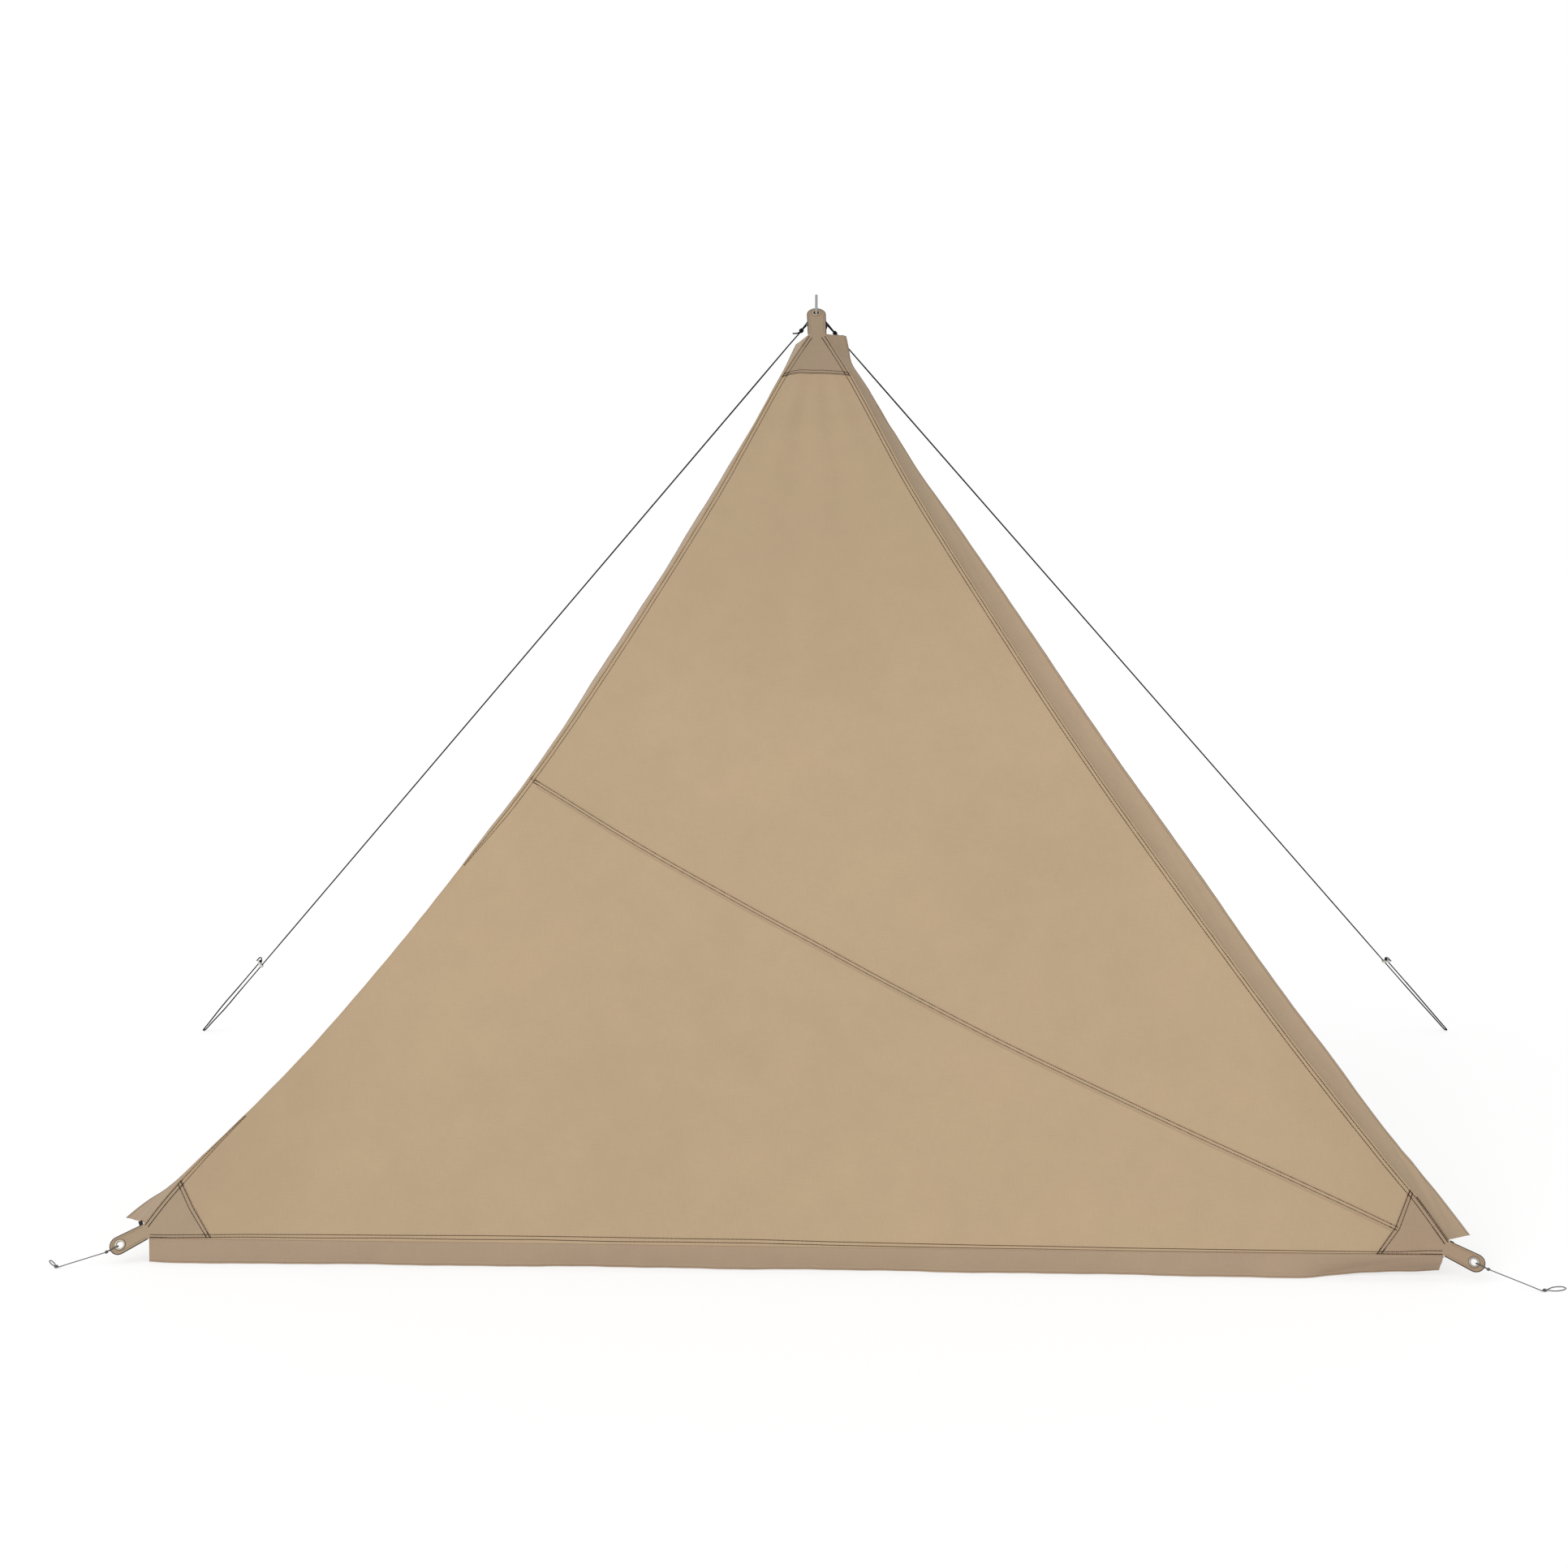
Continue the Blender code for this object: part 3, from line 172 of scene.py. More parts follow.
def find_hem_y():
    """Where the bottom hem lies, with the top eyelet resting on the pin."""
    root = SLOPE_HEIGHT - root_depth("top")
    run = tab_bend(eyelet_reach("top"))[0]
    thick = TAB[1] + 2 * GAP + 2 * PLATE + ROLL
    free = (EYELET_BORE * math.cos(TOP_TAB_TILT) - thick * math.sin(TOP_TAB_TILT)) / 2
    middle = (TAB[1] - ROLL) / 2 * math.sin(TOP_TAB_TILT)
    centre = PIN_DIAMETER / 2 + GAP - free
    return centre - root * UP_SLOPE.y - run + middle


HEM_Y = find_hem_y()


def lean(point, w):
    return Vector((point[0], HEM_Y + point[1] * UP_SLOPE.y - w * math.sin(PITCH),
                   HEM_Z + point[1] * UP_SLOPE.z + w * OUT.z))


def corner_axes(corner):
    """Virtual corner, direction outwards along its axis and direction across."""
    if corner == "top":
        return APEX[corner], (0.0, 1.0), (1.0, 0.0)
    half, out = half_angle(corner), 1.0 if corner == "right" else -1.0
    return (APEX[corner], (out * math.cos(half), -math.sin(half)),
            (-out * math.sin(half), -math.cos(half)))


def in_corner(corner, a, b):
    apex, along, across = corner_axes(corner)
    return (apex[0] + a * along[0] + b * across[0], apex[1] + a * along[1] + b * across[1])


def corner_place(corner, u, v):
    """How far inside a corner points lie, along its axis, and how far across."""
    apex, along, across = corner_axes(corner)
    return (-((u - apex[0]) * along[0] + (v - apex[1]) * along[1]),
            (u - apex[0]) * across[0] + (v - apex[1]) * across[1])


def on_tab(corner, a, b, w):
    root = -root_depth(corner)
    side = b - math.tan(TAB_LEANS[corner]) * max(0.0, a - root)
    if corner != "top" or a <= root:
        return lean(in_corner(corner, a, side), w)
    run, climb, slope = tab_bend(a - root)
    base = lean(in_corner(corner, root, side), 0.0)
    return base + Vector((0.0, run - w * math.sin(slope), climb + w * math.cos(slope)))


def eyelet_frame(corner):
    a = eyelet_reach(corner) - root_depth(corner)
    centre = on_tab(corner, a, 0.0, 0.0)
    z = (on_tab(corner, a, 0.0, 1.0) - centre).normalized()
    x = on_tab(corner, a, 1.0, 0.0) - centre
    x = (x - z * x.dot(z)).normalized()
    place = Matrix((x, z.cross(x), z)).transposed().to_4x4()
    place.translation = centre
    return place


def eased(pairs, share):
    """Smooth curve through (share, value) pairs."""
    last = len(pairs) - 1
    i = next((k for k in range(last) if share <= pairs[k + 1][0]), last - 1)
    slopes = []
    for k in (i, i + 1):
        (a, x), (b, y) = pairs[max(k - 1, 0)], pairs[min(k + 1, last)]
        slopes.append((y - x) / (b - a))
    (a, x), (b, y) = pairs[i], pairs[i + 1]
    t = (share - a) / (b - a)
    return (x * (1 + 2 * t) * (1 - t) ** 2 + y * t * t * (3 - 2 * t)
            + (b - a) * t * (1 - t) * (slopes[0] * (1 - t) - slopes[1] * t))


SHARES = np.linspace(0.0, 1.0, 1201)


def table(pairs):
    return np.array([eased(pairs, share) for share in SHARES])


BOW_TABLES = {side: table(BOWS[side]) for side in SIDES}


def side_length(side):
    return math.hypot(APEX[side][0] - APEX["top"][0], SLOPE_HEIGHT)


def side_axes(side):
    """Lower corner of a side edge, its direction up the chord and the direction inwards."""
    length = side_length(side)
    along = ((APEX["top"][0] - APEX[side][0]) / length, SLOPE_HEIGHT / length)
    inward = (along[1], -along[0]) if side == "left" else (-along[1], along[0])
    return APEX[side], along, inward


def bow_at(side, s):
    """How far the curved edge lies inside its chord, s up the chord."""
    length = side_length(side)
    return np.interp(np.asarray(s) / length, SHARES, BOW_TABLES[side]) * length


def edge(side, s, inset=0.0):
    """Points of a side edge, s up its chord from the lower corner, moved in by inset."""
    apex, along, inward = side_axes(side)
    bow = bow_at(side, s) + inset
    return apex[0] + s * along[0] + bow * inward[0], s * along[1] + bow * inward[1]


def edge_line(side, s, inset):
    """The same points as a line of (u, v)."""
    return np.stack(edge(side, s, inset), -1)


def side_place(side, u, v):
    """How far up a side's chord a point lies, and how far inside the curved edge."""
    apex, along, inward = side_axes(side)
    s = (u - apex[0]) * along[0] + (v - apex[1]) * along[1]
    inside = (u - apex[0]) * inward[0] + (v - apex[1]) * inward[1]
    return s, inside - bow_at(side, s)


def seam_line():
    """Middle of the diagonal seam, from the left edge to the right patch."""
    start = edge("left", SEAM_START)
    stop = in_corner("right", -PATCHES["right"][1], PATCHES["right"][3])
    span = (stop[0] - start[0], stop[1] - start[1])
    length = math.hypot(*span)
    down = (span[1] / length, -span[0] / length)
    share = np.linspace(0.0, 1.0, 161)
    bow = np.interp(share, SHARES, table(SEAM_BOW))
    return np.stack([start[k] + share * span[k] + bow * down[k] for k in (0, 1)], -1)


SEAM = seam_line()


def unit(vectors):
    return vectors / np.linalg.norm(vectors, axis=-1, keepdims=True)


def run_of(line):
    """Distance along a line of points, at each of them."""
    return np.concatenate([[0.0], np.cumsum(np.linalg.norm(np.diff(line, axis=0), axis=1))])


def paired(first, second):
    """Two numbers or grids as one grid of pairs."""
    return np.stack(np.broadcast_arrays(first, second), -1)


def shifted(line, distance):
    """A line of (u, v) points moved to its left side."""
    ahead = unit(np.gradient(line, axis=0))
    return line + np.stack([-ahead[:, 1], ahead[:, 0]], -1) * distance


def patch_edge(corner):
    first, middle, last, bend = PATCHES[corner]
    slant = math.cos(half_angle(corner))
    if corner == "top":
        ends = [edge(side, side_length(side) - depth / slant, PATCH_INSET)
                for side, depth in (("left", first), ("right", last))]
    else:
        reach = math.copysign(last / slant, -APEX[corner][0])
        ends = [edge(corner, first / slant, PATCH_INSET), (APEX[corner][0] + reach, PATCH_INSET)]
    return [ends[0], in_corner(corner, -middle, bend), ends[1]]


# Shape of the hung cloth

def rise(x):
    """0 up to 0, 1 from 1, smooth between."""
    t = np.clip(x, 0.0, 1.0)
    return t * t * (3 - 2 * t)


def wave_of(s, length, start=0.0):
    return np.sin(2 * math.pi * s / length + start)


BELLY = 0.006
# Distance from the sides and from the bottom over which the middle grows calm
CALM_SIDE, CALM_FOOT = 0.55, 0.45
# Height, length, direction and start of each wave
WAVES = ((0.0016, 0.78, 0.35, 0.4), (0.0013, 0.52, 1.10, 2.1), (0.0010, 0.37, 2.25, 4.0),
         (0.0007, 0.26, 0.75, 5.2), (0.0005, 0.19, 1.75, 1.3))
# Height, number, start and reach of the folds that fan out from a corner
CORNER_FOLDS = {"top": (0.0044, 25.0, 0.6, 0.62), "left": (0.0022, 21.0, 1.9, 0.50),
                "right": (0.0020, 23.0, 0.2, 0.55)}
PUCKER, PUCKER_REACH = 0.0006, 0.035


def ripple(u, v):
    """How far the hung cloth lies in front of its flat plane."""
    u, v = np.asarray(u, float), np.asarray(v, float)
    left_s, left_in = side_place("left", u, v)
    right_s, right_in = side_place("right", u, v)
    calm = rise(left_in / CALM_SIDE) * rise(right_in / CALM_SIDE) * rise(v / CALM_FOOT)
    depth = -BELLY * calm
    for size, wave, turn, start in WAVES:
        along = u * math.cos(turn) + v * math.sin(turn)
        depth = depth + size * wave_of(along, wave, start) * (0.25 + 0.75 * calm)
    held = np.ones_like(u * v)
    for corner in CORNERS:
        a, b = corner_place(corner, u, v)
        far = np.hypot(a, b)
        angle = np.arctan2(b, np.maximum(a, 1e-6))
        size, folds, start, fade = CORNER_FOLDS[corner]
        window = np.cos(np.clip(angle / half_angle(corner), -1, 1) * math.pi / 2) ** 0.7
        depth = depth + (size * np.exp(-far / fade) * rise((far - 0.14) / 0.25) * window
                         * np.sin(folds * angle + start + 0.8 * np.sin(5 * far)))
        held = held * rise((far - 0.055) / 0.20) * rise(v / 0.07)
    for s, inside, wave, start in ((left_s, left_in, 0.093, 0.3), (right_s, right_in, 0.081, 1.1),
                                   (u, v, 0.087, 2.0)):
        phase = 2 * math.pi * s / wave + 1.6 * np.sin(5.3 * s + start)
        depth = depth + PUCKER * np.sin(phase) * np.exp(-np.maximum(inside, 0.0) / PUCKER_REACH)
    return depth * held


def skin(u, v, w):
    """World points of the hung cloth."""
    w = w + ripple(u, v)
    u = u + 0.0 * w
    return np.stack([u, HEM_Y + v * UP_SLOPE.y - w * math.sin(PITCH),
                     HEM_Z + v * UP_SLOPE.z + w * math.cos(PITCH)], -1)


# Meshes

def added(name, mesh, finish, body):
    """A mesh as an object on its body."""
    mesh.materials.append(finish)
    obj = bpy.data.objects.new(name, mesh)
    bpy.context.collection.objects.link(obj)
    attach(obj, body)
    return obj


def soften(mesh, sharp):
    mesh.shade_smooth()
    mesh.set_sharp_from_angle(angle=math.radians(sharp))


def face_out(mesh):
    """Turns the faces of a closed mesh outwards."""
    bm = bmesh.new()
    bm.from_mesh(mesh)
    bmesh.ops.recalc_face_normals(bm, faces=bm.faces)
    bm.to_mesh(mesh)
    bm.free()


def make(name, verts, faces, finish, uv=None, body="tarp", sharp=40.0):
    """Mesh object on a body; uv holds a pair for each vertex, in metres on the cloth."""
    mesh = bpy.data.meshes.new(name)
    mesh.from_pydata(np.asarray(verts, float).tolist(), [], [list(f) for f in faces])
    if uv is not None:
        layer = mesh.uv_layers.new(name="Cloth")
        ends = np.empty(len(mesh.loops), np.int32)
        mesh.loops.foreach_get("vertex_index", ends)
        layer.uv.foreach_set("vector", np.asarray(uv, np.float32)[ends].ravel())
    face_out(mesh)
    soften(mesh, sharp)
    return added(name, mesh, finish, body)


def through_rows(rows, count):
    """Faces of a closed solid through a row of outlines."""
    at = np.arange(rows * count).reshape(rows, count)
    nxt = np.roll(at, -1, axis=1)
    quads = np.stack([at[:-1], nxt[:-1], nxt[1:], at[1:]], -1).reshape(-1, 4)
    return quads.tolist() + [at[0, ::-1].tolist(), at[-1].tolist()]


def round_rows(rows, count):
    """Faces of a ring whose last outline meets the first."""
    at = np.arange(rows * count).reshape(rows, count)
    turn, nxt = np.roll(at, -1, axis=0), np.roll(at, -1, axis=1)
    return np.stack([at, nxt, np.roll(turn, -1, axis=1), turn], -1).reshape(-1, 4).tolist()


def slab(name, front, back, uv, finish, body="tarp"):
    """Thin sheet between two grids of points."""
    rows, cols = front.shape[:2]
    total = rows * cols
    at = np.arange(total).reshape(rows, cols)
    quads = np.stack([at[:-1, :-1], at[:-1, 1:], at[1:, 1:], at[1:, :-1]], -1).reshape(-1, 4)
    rim = np.concatenate([at[0, :], at[1:, -1], at[-1, -2::-1], at[-2:0:-1, 0]])
    after = np.roll(rim, -1)
    walls = np.stack([after, rim, rim + total, after + total], -1)
    faces = np.concatenate([quads, quads[:, ::-1] + total, walls])
    verts = np.concatenate([front.reshape(-1, 3), back.reshape(-1, 3)])
    flat = uv.reshape(-1, 2)
    return make(name, verts, faces.tolist(), finish, np.concatenate([flat, flat]), body)


def band(name, sections, uv, finish):
    """Closed solid through a row of outlines, an array of rows by points by three."""
    return make(name, sections.reshape(-1, 3), through_rows(*sections.shape[:2]), finish,
                uv.reshape(-1, 2), "tarp", 50.0)


def lathe(name, profile, place, finish):
    """Ring turned about a frame's Z axis from a closed (radius, height) outline."""
    sides = 48
    angle = np.arange(sides) * 2 * math.pi / sides
    verts = [place @ Vector((r * math.cos(t), r * math.sin(t), h)) for t in angle
             for r, h in profile]
    return make(name, [tuple(v) for v in verts], round_rows(sides, len(profile)), finish, None,
                "tarp", 30.0)


def tube(name, path, radius, finish, slot, body, sides=12):
    """Round cord along a path, with rounded ends and a map of (along, around)."""
    line = np.array([tuple(p) for p in path])
    count = len(line)
    ahead = unit(np.gradient(line, axis=0))
    side = np.cross(ahead[0], (0.0, 0.0, 1.0) if abs(ahead[0][2]) < 0.9 else (1.0, 0.0, 0.0))
    run = run_of(line)
    rings, uvs = [], []
    stops = [(0, -0.9, 0.45), (0, -0.5, 0.85)] + [(i, 0.0, 1.0) for i in range(count)]
    stops += [(count - 1, 0.5, 0.85), (count - 1, 0.9, 0.45)]
    angle = np.arange(sides + 1) * 2 * math.pi / sides
    radii = np.broadcast_to(radius, count)
    for i, out, size in stops:
        t, radius = ahead[i], radii[i]
        side = unit(side - t * side.dot(t))
        other = np.cross(t, side)
        centre = line[i] + t * out * radius
        rings.append(centre + radius * size * (np.cos(angle)[:, None] * side
                                               + np.sin(angle)[:, None] * other))
        uvs.append(paired(run[i] + out * radius, angle / (2 * math.pi)))
    rings, uvs = np.array(rings)[:, :-1], np.array(uvs)
    mesh = bpy.data.meshes.new(name)
    mesh.from_pydata(rings.reshape(-1, 3).tolist(), [], through_rows(len(rings), sides))
    layer = mesh.uv_layers.new(name="Cloth")
    k = np.arange(sides)
    low, high = uvs[:-1], uvs[1:]
    quad_uv = np.stack([low[:, k], low[:, k + 1], high[:, k + 1], high[:, k]], 2).reshape(-1, 2)
    caps = np.concatenate([uvs[0, :-1][::-1], uvs[-1, :-1]])
    layer.uv.foreach_set("vector", np.concatenate([quad_uv, caps]).astype(np.float32).ravel())
    mesh.shade_smooth()
    return added(name, mesh, finish, body)


# Stitching

# One stitch, three outlines of four points: along it, across it and out of the cloth
GRAIN = np.array([(t, x * k, h) for t, k, top in ((-1.0, 0.5, 0.15), (0.0, 1.0, 1.0),
                                                  (1.0, 0.5, 0.15))
                  for x, h in ((-1.0, -0.25), (-0.55, top), (0.55, top), (1.0, -0.25))])
STITCH, STITCH_LENGTH, STITCH_WIDTH, STITCH_HEIGHT = 0.0052, 0.0048, 0.0026, 0.0008
# Width of fuller stitches, and the step of rows sewn over one another
FULL_STITCH, DENSE_STEP = 0.0030, 0.0041
# How deep a stitch sinks into the cloth
SUNK = 0.0001


def spaced(line, step):
    """Points a step apart along a line of points."""
    run = run_of(line)
    at = np.arange(step / 2, run[-1], step)
    return np.stack([np.interp(at, run, line[:, k]) for k in range(line.shape[1])], -1)


class Thread:
    """Stitches of one piece, gathered row by row."""

    def __init__(self):
        self.verts = []

    def row(self, points, out, width=STITCH_WIDTH, length=STITCH_LENGTH):
        """A stitch on each world point; out is the way that the cloth faces there."""
        if len(points) < 2:
            return
        ahead = unit(np.gradient(points, axis=0))
        out = np.broadcast_to(out, points.shape)
        out = unit(out - ahead * (out * ahead).sum(1)[:, None])
        side = np.cross(out, ahead)
        # Each stitch leans and swells a little
        n = np.arange(len(points))
        turn = (0.10 + 0.05 * np.sin(n * 12.9898))[:, None]
        ahead, side = ahead + side * turn, side - ahead * turn
        size = 1.0 + 0.12 * np.sin(n * 78.233)
        t, x, h = GRAIN.T[:, :, None]
        verts = (points[:, None] + ahead[:, None] * (t * length / 2)
                 + side[:, None] * (x * width / 2) * size[:, None, None]
                 + out[:, None] * (h * STITCH_HEIGHT))
        self.verts.append(verts.reshape(-1, 3))

    def piece(self, name, finish, body="tarp"):
        verts = np.concatenate(self.verts)
        each = len(GRAIN)
        starts = np.arange(len(verts) // each)[:, None, None] * each
        faces = (starts + np.array(through_rows(3, 4))[None]).reshape(-1, 4)
        return make(name, verts, faces.tolist(), finish, None, body, 80.0)


# Folded edge of the top patch between its ends: across the corner, and inside it
TOP_FOLD = ((-0.075, 0.1858), (-0.052, 0.1820), (-0.030, 0.1826), (-0.010, 0.1840),
            (0.018, 0.1836), (0.050, 0.1858), (0.080, 0.1878))


def patch_outline(corner):
    """Folded edge of a patch as (u, v) points from one end to the other."""
    first, middle, last = patch_edge(corner)
    inner = [in_corner("top", -a, b) for b, a in TOP_FOLD] if corner == "top" else [middle]
    return np.array([first] + inner + [last])


def patch_cover(corner, u, v):
    """True where a corner's patch covers the panel."""
    a, b = corner_place(corner, u, v)
    inside, across = corner_place(corner, *patch_outline(corner).T)
    order = np.argsort(across)
    return a < np.interp(b, across[order], inside[order])


def top_of(u, v):
    """Height of the cloth's front face above the panel's back face."""
    top = np.full(np.shape(u), CLOTH)
    near = np.interp(u, SEAM[:, 0], SEAM[:, 1])
    on_seam = (np.abs(v - near) < SEAM_WIDTH / 2 * 1.12) & (u > SEAM[0, 0] + 0.006)
    on_seam &= u < SEAM[-1, 0] - 0.004
    top = np.where(on_seam, FRONT[1], top)
    for corner in CORNERS:
        top = np.where(patch_cover(corner, u, v), FRONT[1], top)
    return top


def front_row(thread, line, width=STITCH_WIDTH, step=STITCH):
    """Row of stitches along (u, v) points on the tarp's front."""
    u, v = spaced(np.asarray(line, float), step).T
    thread.row(skin(u, v, top_of(u, v) - SUNK), np.array(OUT), width)


def back_row(thread, line, w):
    """Row of stitches along (u, v) points on the tarp's back, at height w."""
    u, v = spaced(np.asarray(line, float), STITCH).T
    thread.row(skin(u, v, w + SUNK), -np.array(OUT))


# Materials, with colours as 8-bit values

def node(tree, kind, *values, **settings):
    """Shader node whose inputs, in order, are linked to nodes or sockets or set to numbers."""
    made = tree.nodes.new("ShaderNode" + kind)
    for key, value in settings.items():
        setattr(made, key, value)
    for socket, value in zip(made.inputs, values):
        if value is None:
            continue
        if isinstance(value, bpy.types.Node):
            value = value.outputs[0]
        if isinstance(value, bpy.types.NodeSocket):
            tree.links.new(value, socket)
        else:
            socket.default_value = value
    return made


def start_finish(name):
    """New material, its tree, its shader and the place on the object."""
    made = bpy.data.materials.new(name)
    made.use_nodes = True
    tree = made.node_tree
    return made, tree, tree.nodes["Principled BSDF"], node(tree, "TexCoord").outputs["Object"]


def spread(tree, value, low, high, start=0.0, stop=1.0):
    return node(tree, "MapRange", value, start, stop, low, high)


def uneven(tree, value, share, start=0.0, stop=1.0):
    """About 1, less or more by a share."""
    return spread(tree, value, 1 - share, 1 + share, start, stop)


def times(tree, made, *values):
    for value in values:
        made = node(tree, "Math", made, value, operation="MULTIPLY")
    return made


def sine(tree, value, length):
    return node(tree, "Math", times(tree, value, 2 * math.pi / length), operation="SINE")


def noise(tree, place, scale, detail=2.0, rough=0.5):
    return node(tree, "TexNoise", place, None, scale, detail, rough)


def bump(tree, height, strength, distance, under=None):
    made = node(tree, "Bump")
    made.inputs["Strength"].default_value = strength
    made.inputs["Distance"].default_value = distance
    tree.links.new(height.outputs[0], made.inputs["Height"])
    if under:
        tree.links.new(under.outputs[0], made.inputs["Normal"])
    return made


def tinted(tree, colour, amount):
    """One colour times a number from nodes."""
    parts = [v / 255 for v in colour]
    linear = [v / 12.92 if v <= 0.04045 else ((v + 0.055) / 1.055) ** 2.4 for v in parts]
    made = node(tree, "VectorMath", linear, operation="SCALE")
    tree.links.new(amount.outputs[0], made.inputs["Scale"])
    return made


def dress(tree, shader, base, rough, normal, **numbers):
    """Joins a material's nodes to its shader; numbers are set on the inputs that they name."""
    for made, name in ((base, "Base Color"), (rough, "Roughness"), (normal, "Normal")):
        tree.links.new(made.outputs[0], shader.inputs[name])
    for name, number in numbers.items():
        shader.inputs[name.replace("_", " ")].default_value = number


# Repeat of the weave, and how fine the slubs are along and across a yarn
WEAVE, SLUB_LONG, SLUB_FINE = 0.0015, 26.0, 1150.0
# Painted shade: where the cloth darkens towards the top, and to its two sides
SHADED_HIGH, SHADED_ASIDE = (0.86, 1.35, 2.45), (1.15, 1.5)


def canvas(name, colour, soil_and_shade=None, aside_tone=0.92):
    """Plain-woven canvas. The third argument is where across the piece it darkens, and by how much:
    soil on the bottom skirt, painted shade on the seam and the right skirt.
    """
    made, tree, shader, world = start_finish(name)
    place = node(tree, "UVMap", uv_map="Cloth")
    axes = node(tree, "SeparateXYZ", place)
    weave = times(tree, *[sine(tree, axes.outputs[k], WEAVE) for k in (0, 1)])
    slubs = []
    for scale in ((SLUB_FINE, SLUB_LONG, 1.0), (SLUB_LONG, SLUB_FINE, 1.0)):
        slubs.append(noise(tree, node(tree, "Mapping", place, None, None, scale), 1.0, 2.0))
    blotch = noise(tree, world, 1.7, 4.0, 0.6)
    mottle = noise(tree, world, 11.0, 3.0, 0.6)
    grain = noise(tree, world, 420.0, 2.0, 0.7)
    # Painted shade from the place in the world: darker towards the top and to the two sides
    spot = node(tree, "SeparateXYZ", world)
    aside = node(tree, "Math", spot.outputs[0], operation="ABSOLUTE")
    amount = times(tree, uneven(tree, blotch, 0.028, 0.3, 0.7),
                   uneven(tree, mottle, 0.022, 0.25, 0.75), uneven(tree, grain, 0.035, 0.2, 0.8),
                   uneven(tree, slubs[0], 0.03, 0.25, 0.75),
                   uneven(tree, slubs[1], 0.03, 0.25, 0.75),
                   # Painted shade in the weave: darker where its relief is low
                   spread(tree, weave, 0.955, 1.035, -1.0, 1.0),
                   spread(tree, spot.outputs[2], 1.0, *SHADED_HIGH),
                   spread(tree, aside, 1.0, aside_tone, *SHADED_ASIDE))
    # Darker across part of the piece: real soil on some pieces, painted shade on others
    if soil_and_shade:
        start, stop, tone = soil_and_shade
        amount = times(tree, amount, spread(tree, axes.outputs[1], 1.0, tone, start, stop))
    tint = node(tree, "MixRGB", spread(tree, noise(tree, world, 2.9, 3.0), 0.0, 1.0, 0.35, 0.65),
                (1.0, 0.985, 0.985, 1.0), (1.0, 1.006, 0.985, 1.0))
    mixed = node(tree, "MixRGB", 1.0, tinted(tree, colour, amount), tint, blend_type="MULTIPLY")
    fibres = node(tree, "Math", weave, times(tree, grain, 0.8), operation="ADD")
    low = bump(tree, slubs[0], 0.25, 0.0002)
    dress(tree, shader, mixed, spread(tree, grain, 0.80, 0.96),
          bump(tree, fibres, 0.45, 0.00018, low), Sheen_Weight=0.08, Sheen_Roughness=0.6,
          Specular_IOR_Level=0.25)
    return made


def thread_finish(name, colour):
    made, tree, shader, world = start_finish(name)
    fibre = noise(tree, world, 1400.0)
    shade = noise(tree, world, 6.0)
    amount = times(tree, uneven(tree, fibre, 0.3), uneven(tree, shade, 0.2))
    dress(tree, shader, tinted(tree, colour, amount), spread(tree, fibre, 0.55, 0.8),
          bump(tree, fibre, 0.5, 0.0002), Specular_IOR_Level=0.1)
    return made


def braid(name, colour, pitch, strands):
    """Braided sheath of a rope, from its map of (along, around)."""
    made, tree, shader, world = start_finish(name)
    place = node(tree, "SeparateXYZ", node(tree, "UVMap", uv_map="Cloth"))
    along = times(tree, place.outputs[0], 2 * math.pi / pitch)
    around = times(tree, place.outputs[1], 2 * math.pi * strands)
    ridges = [node(tree, "Math", node(tree, "Math", along, around, operation=way),
                   operation="SINE") for way in ("ADD", "SUBTRACT")]
    height = node(tree, "Math", *ridges, operation="MAXIMUM")
    fibre = noise(tree, world, 1800.0)
    # Painted shade: the braid is darker in the grooves between its strands
    amount = times(tree, spread(tree, height, 0.45, 1.35, -0.5, 1.0), uneven(tree, fibre, 0.25))
    raised = node(tree, "Math", height, times(tree, fibre, 0.35), operation="ADD")
    dress(tree, shader, tinted(tree, colour, amount), spread(tree, fibre, 0.6, 0.9),
          bump(tree, raised, 0.8, 0.0003), Specular_IOR_Level=0.2)
    return made


def webbing(name, colour, rib=0.0016, cross=0.0011):
    """Narrow woven tape with ribs across it."""
    made, tree, shader, world = start_finish(name)
    place = node(tree, "SeparateXYZ", node(tree, "UVMap", uv_map="Cloth"))
    height = times(tree, sine(tree, place.outputs[1], rib), sine(tree, place.outputs[0], cross))
    fibre = noise(tree, world, 1500.0)
    # Painted shade: the tape is darker in the hollows between its ribs
    amount = times(tree, uneven(tree, height, 0.4, -1.0, 1.0), uneven(tree, fibre, 0.2))
    dress(tree, shader, tinted(tree, colour, amount), spread(tree, fibre, 0.7, 0.95),
          bump(tree, height, 0.6, 0.0003))
    return made


def metal(name, colour, roughness, drawn, tone=0.08):
    """Bare or plated metal, brushed along the axis with the smallest scale."""
    made, tree, shader, world = start_finish(name)
    lines = noise(tree, node(tree, "Mapping", world, None, None, drawn), 1.0, 3.0, 0.6)
    wear = noise(tree, world, 45.0, 4.0, 0.65)
    amount = times(tree, uneven(tree, lines, tone), spread(tree, wear, 0.92, 1.05, 0.3, 0.7))
    rough = node(tree, "Math", spread(tree, lines, roughness - 0.06, roughness + 0.08),
                 spread(tree, wear, -0.04, 0.10, 0.35, 0.75), operation="ADD")
    dress(tree, shader, tinted(tree, colour, amount), rough, bump(tree, lines, 0.15, 0.0001),
          Metallic=1.0)
    return made


def moulded(name, colour, roughness, scale, depth):
    """Moulded plastic or rubber with a fine grain."""
    made, tree, shader, world = start_finish(name)
    grain = noise(tree, world, scale, 3.0, 0.6)
    cloud = noise(tree, world, 60.0, 3.0)
    amount = times(tree, uneven(tree, cloud, 0.07, 0.3, 0.7), uneven(tree, grain, 0.04))
    dress(tree, shader, tinted(tree, colour, amount),
          spread(tree, grain, roughness - 0.08, roughness + 0.1), bump(tree, grain, 0.3, depth))
    return made


